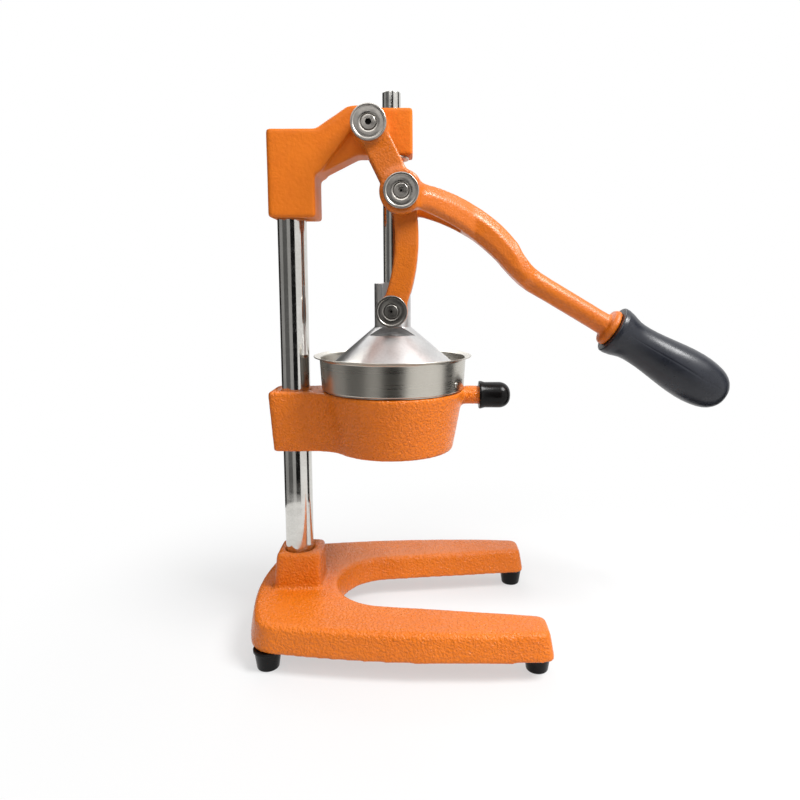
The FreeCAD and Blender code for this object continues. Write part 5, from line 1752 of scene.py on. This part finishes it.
@dataclass
class Links:
    """The two curved links with their caps and screws."""

    cap: float = 11.3 * MM

    def build(self, kit: Materials) -> None:
        """Make the links, caps and screws.

        Args:
            kit: The materials and trees.
        """
        for side in Side:
            place = side.name.lower()
            Casting("link_" + place, "cast_link_" + place, "links", voxel=0.9 * MM, rounds=7,
                    hammer_depth=0.15 * MM, drift_depth=0.25 * MM).build(kit, LEVER_PAINT)
            dress_nodes(kit.pin_steel(), "link_pin_" + place)
        CapSet(("link",), "links", self.cap).build(kit)


@dataclass
class Ram:
    """The ram rod with its conical press cup."""

    clearance: float = 0.1 * MM
    hub: float = 13.3 * MM
    cone_top: float = 229.8 * MM
    cup: float = 48.0 * MM
    slope: float = 49.9
    wall: float = 4.0 * MM
    half_flat: float = 11.4 * MM
    shelf: float = 223.98 * MM
    cutter_reach: float = 40.0 * MM
    cutter_half: float = 30.0 * MM
    rib_count: int = 12
    rib_drop: float = 2.0 * MM
    rib_root: float = 1.0 * MM
    rib_half: float = 1.2 * MM
    rib_ends: tuple[float, float] = (12.0 * MM, 41.0 * MM)

    def build(self, kit: Materials) -> None:
        """Make the rod, cup and hub screws.

        Args:
            kit: The materials and trees.
        """
        low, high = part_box("ram_rod")
        radius = ram_radius()
        outline = filleted([(0.0, low.z), (radius, low.z, 0.8 * MM), (radius, high.z, 0.9 * MM),
                            (0.0, high.z)])
        rod = turned_piece("ram_bar", turned_mesh(outline, 96), (kit.ram_x, 0.0, 0.0))
        finish_piece(rod, kit.chrome("rod_chrome", kit.ram_x), "ram", Slot.CHROME, "ram_rod")
        self.press_cup(kit)
        dress_nodes(kit.pin_steel(), "hub_pin", "hub_grub_screw")

    def press_cup(self, kit: Materials) -> None:
        """Turn the cup, cut its hub flat for the links and set ribs inside it.

        Args:
            kit: The materials and trees.
        """
        low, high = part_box("press_cup")
        slope = math.tan(math.radians(self.slope))
        bore = ram_radius() + self.clearance
        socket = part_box("ram_rod")[0].z - self.clearance
        outside = self.cup - self.clearance
        shoulder = self.cone_top - (self.cup - self.hub) / slope
        inner = self.cup - 0.8 * self.wall
        apex = self.cone_top + self.hub / slope - self.wall / math.sin(math.radians(self.slope))
        roof = self.shelf - self.wall
        flat = (apex - roof) * slope
        outline = filleted([
            (0.0, socket), (bore, socket), (bore, high.z, 0.4 * MM), (self.hub, high.z, 1.1 * MM),
            (self.hub, self.cone_top, 1.5 * MM), (outside, shoulder, 1.6 * MM),
            (outside, low.z, 0.8 * MM), (inner, low.z, 0.8 * MM),
            (inner, apex - inner / slope, 1.5 * MM), (flat, roof, 1.5 * MM), (0.0, roof)])
        item = turned_piece("cone_cup", turned_mesh(outline, 160), (kit.ram_x, 0.0, 0.0))
        left, right = kit.ram_x - self.cutter_half, kit.ram_x + self.cutter_half
        for side in Side:
            near, far = sorted((side.value * self.half_flat, side.value * self.cutter_reach))
            cut(item, new_object("flat_cutter", prism_mesh(
                [(left, near), (right, near), (right, far), (left, far)],
                self.shelf, high.z + 5 * MM)))
        cut(item, self.ribs(kit, roof, flat, apex, slope), "UNION")
        finish_piece(item, kit.aluminium(), "ram", Slot.ALUMINIUM, "press_cup")

    def ribs(self, kit: Materials, roof: float, flat: float, apex: float,
             slope: float) -> bpy.types.Object:
        """Repeat one rib's plate round the ram's axis.

        Args:
            kit: The materials and trees.
            roof: The height of the cup's flat roof inside.
            flat: The radius of that roof.
            apex: Where the inner cone's sides would meet.
            slope: How far the cone goes out for each metre down.

        Returns:
            The object that joins the cup.
        """
        first, last = self.rib_ends
        side = [(first, roof), (flat, roof), (last, apex - last / slope)]
        lower = [(x, z - self.rib_drop, 0.5 * MM) for x, z in side]
        upper = [(x, z + self.rib_root) for x, z in reversed(side)]
        rib = prism_mesh(filleted(lower + upper, closed=True), -self.rib_half, self.rib_half)
        rib.transform(Matrix.Rotation(QUARTER_TURN, 4, "X"))
        item = new_object("cup_ribs", rib)
        grown(item, kit.groups.ring, count=self.rib_count, centre=(kit.ram_x, 0.0, 0.0), start=0.0,
              material=kit.aluminium())
        return item


# -------------------------------------------------------------------- studio


@dataclass
class Lamp:
    """A square area lamp that looks at the press."""

    name: str
    place: Point
    size: float
    power: float
    target: Point = (0.0, 0.0, 0.2)

    def build(self) -> None:
        """Hang the lamp."""
        light = bpy.data.lights.new(self.name, "AREA")
        light.shape = "SQUARE"
        light.size = self.size
        light.energy = self.power
        item = bpy.data.objects.new(self.name, light)
        item.location = self.place
        aim = Vector(self.target) - Vector(self.place)
        item.rotation_euler = aim.to_track_quat("-Z", "Y").to_euler()
        bpy.context.scene.collection.objects.link(item)


@dataclass
class Cards:
    """Grey cards round the set, outside the picture, that give the metal its dark bands.

    Each band has the directions, in degrees, where it starts and ends, and its tone.
    """

    centre_x: float
    near: float = 0.26
    far: float = 1.6
    height: float = 1.2
    lift: float = 2.0 * MM
    step: float = 6.0
    bands: tuple[tuple[float, float, float], ...] = (
        (-97.0, -62.0, 0.012), (237.0, 263.0, 0.42), (197.0, 237.0, 0.13), (160.0, 197.0, 0.33),
        (98.0, 160.0, 0.03), (-3.0, 20.0, 0.02))

    def build(self) -> None:
        """Stand one card in each band of directions."""
        rows = ((self.near, self.lift), (self.far, self.lift), (self.far, self.height))
        for number, (start, end, tone) in enumerate(self.bands):
            steps = max(2, round((end - start) / self.step))
            points, faces = [], []
            for step in range(steps + 1):
                angle = math.radians(start + (end - start) * step / steps)
                east, north = math.cos(angle), math.sin(angle)
                points += [(self.centre_x + reach * east, reach * north, height)
                           for reach, height in rows]
                if step:
                    last, here = 3 * step - 3, 3 * step
                    faces += [(last, last + 1, here + 1, here),
                              (last + 1, last + 2, here + 2, here + 1)]
            mesh = bpy.data.meshes.new("studio_card")
            mesh.from_pydata(points, [], faces)
            item = new_object("studio_card_%d" % number, mesh)
            dressed(item, self.material("card_grey_%d" % number, tone))

    def material(self, name: str, tone: float) -> bpy.types.Material:
        """Make a card's grey, which only reflections show.

        Args:
            name: The material's name.
            tone: How bright the grey is.

        Returns:
            The material.
        """
        material = bpy.data.materials.new(name)
        material.use_nodes = True
        tree = NodeTree(material.node_tree)
        path = tree.add("ShaderNodeLightPath")
        clear = tree.add("ShaderNodeBsdfTransparent")
        grey = tree.add("ShaderNodeEmission", {"Color": (tone, tone, tone, 1.0)})
        mix = tree.add("ShaderNodeMixShader", {
            0: path.outputs["Is Glossy Ray"], 1: clear.outputs[0], 2: grey.outputs[0]})
        output = material.node_tree.nodes["Material Output"]
        tree.link(mix.outputs[0], output.inputs["Surface"])
        return material


@dataclass
class Studio:
    """The pale floor, the soft lamps, the white surroundings and the camera."""

    column_x: float
    camera_place: Point = (-0.05276, -0.4775, 0.2577)
    camera_pitch: float = 7.37
    lens: float = 29.03
    sensor: float = 36.0
    shift: tuple[float, float] = (-0.0248, -0.0350)
    floor_tone: Colour = (0.7, 0.7, 0.7, 1.0)
    floor_roughness: float = 0.7
    floor_reach: float = 6.0
    floor_fade: tuple[float, float, float, float] = (0.14, 0.4, 0.55, 1.0)
    world_level: float = 0.24
    lamps: tuple[Lamp, ...] = (
        Lamp("key_lamp", (0.68, -0.42, 1.22), 0.55, 26.5),
        Lamp("fill_lamp", (-0.25, -1.0, 1.15), 0.6, 4.0),
        Lamp("back_lamp", (-0.3, 0.9, 1.1), 0.8, 4.5),
    )

    def build(self) -> None:
        """Set up everything round the press."""
        self.world()
        self.floor()
        Cards(self.column_x).build()
        for lamp in self.lamps:
            lamp.build()
        self.camera()
        bpy.context.scene.view_settings.view_transform = "Standard"

    def seen(self, tree: NodeTree) -> bpy.types.NodeSocket:
        """Tell the rays that show the background from those that light.

        Args:
            tree: The tree that the nodes go in.

        Returns:
            1 for the rays that show the background, and 0 for the others.
        """
        path = tree.add("ShaderNodeLightPath")
        both = tree.maths("MAXIMUM", path.outputs["Is Camera Ray"], path.outputs["Is Glossy Ray"])
        return tree.maths("MAXIMUM", both, path.outputs["Is Transmission Ray"])

    def world(self) -> None:
        """Surround the press with white that lights it softly."""
        world = bpy.data.worlds.new("studio_white")
        bpy.context.scene.world = world
        world.use_nodes = True
        tree = NodeTree(world.node_tree)
        light = world.node_tree.nodes["Background"]
        light.inputs["Color"].default_value = WHITE
        tree.link(tree.ramp(self.seen(tree), 0.0, 1.0, self.world_level, 1.0),
                  light.inputs["Strength"])

    def floor(self) -> None:
        """Lay a pale floor that turns to the white of the surroundings further out."""
        mesh = bpy.data.meshes.new("studio_floor")
        reach = self.floor_reach
        mesh.from_pydata([(-reach, -reach, 0), (reach, -reach, 0), (reach, reach, 0),
                          (-reach, reach, 0)], [], [(0, 1, 2, 3)])
        item = new_object("studio_floor", mesh)
        material = bpy.data.materials.new("pale_floor")
        material.use_nodes = True
        tree = NodeTree(material.node_tree)
        shader = material.node_tree.nodes["Principled BSDF"]
        shader.inputs["Base Color"].default_value = self.floor_tone
        shader.inputs["Roughness"].default_value = self.floor_roughness
        spot = tree.add("ShaderNodeTexCoord").outputs["Object"]
        away = tree.add("ShaderNodeVectorMath", {0: spot}, operation="LENGTH").outputs["Value"]
        share = tree.maths("MULTIPLY", tree.ramp(away, *self.floor_fade), self.seen(tree))
        white = tree.add("ShaderNodeEmission", {"Color": WHITE, "Strength": 1.0})
        mix = tree.add("ShaderNodeMixShader", {
            0: share, 1: shader.outputs[0], 2: white.outputs[0]})
        output = material.node_tree.nodes["Material Output"]
        tree.link(mix.outputs[0], output.inputs["Surface"])
        dressed(item, material)

    def camera(self) -> None:
        """Set the camera at the picture's viewing angle."""
        camera = bpy.data.cameras.new("press_camera")
        camera.lens = self.lens
        camera.sensor_width = self.sensor
        camera.shift_x, camera.shift_y = self.shift
        item = bpy.data.objects.new("press_camera", camera)
        item.location = self.camera_place
        item.rotation_euler = (math.radians(90 - self.camera_pitch), 0.0, 0.0)
        bpy.context.scene.collection.objects.link(item)
        bpy.context.scene.camera = item


def main() -> None:
    """Build the press and its studio in order."""
    logging.basicConfig(level=logging.INFO, format="%(message)s")
    groups = Groups(cast_skin_group(), tone_group(), turned_group(), cast_form_tree(),
                    spread_tree(), ring_tree())
    kit = Materials(groups, middle("column").x, middle("ram_bush").x)
    for assembly in (Base(), Column(), Head(), Holder(), Bowl(), Funnel(), Reamer(), Lever(),
                     Links(), Ram()):
        assembly.build(kit)
    Studio(kit.column_x).build()


if __name__ == "__main__":
    main()
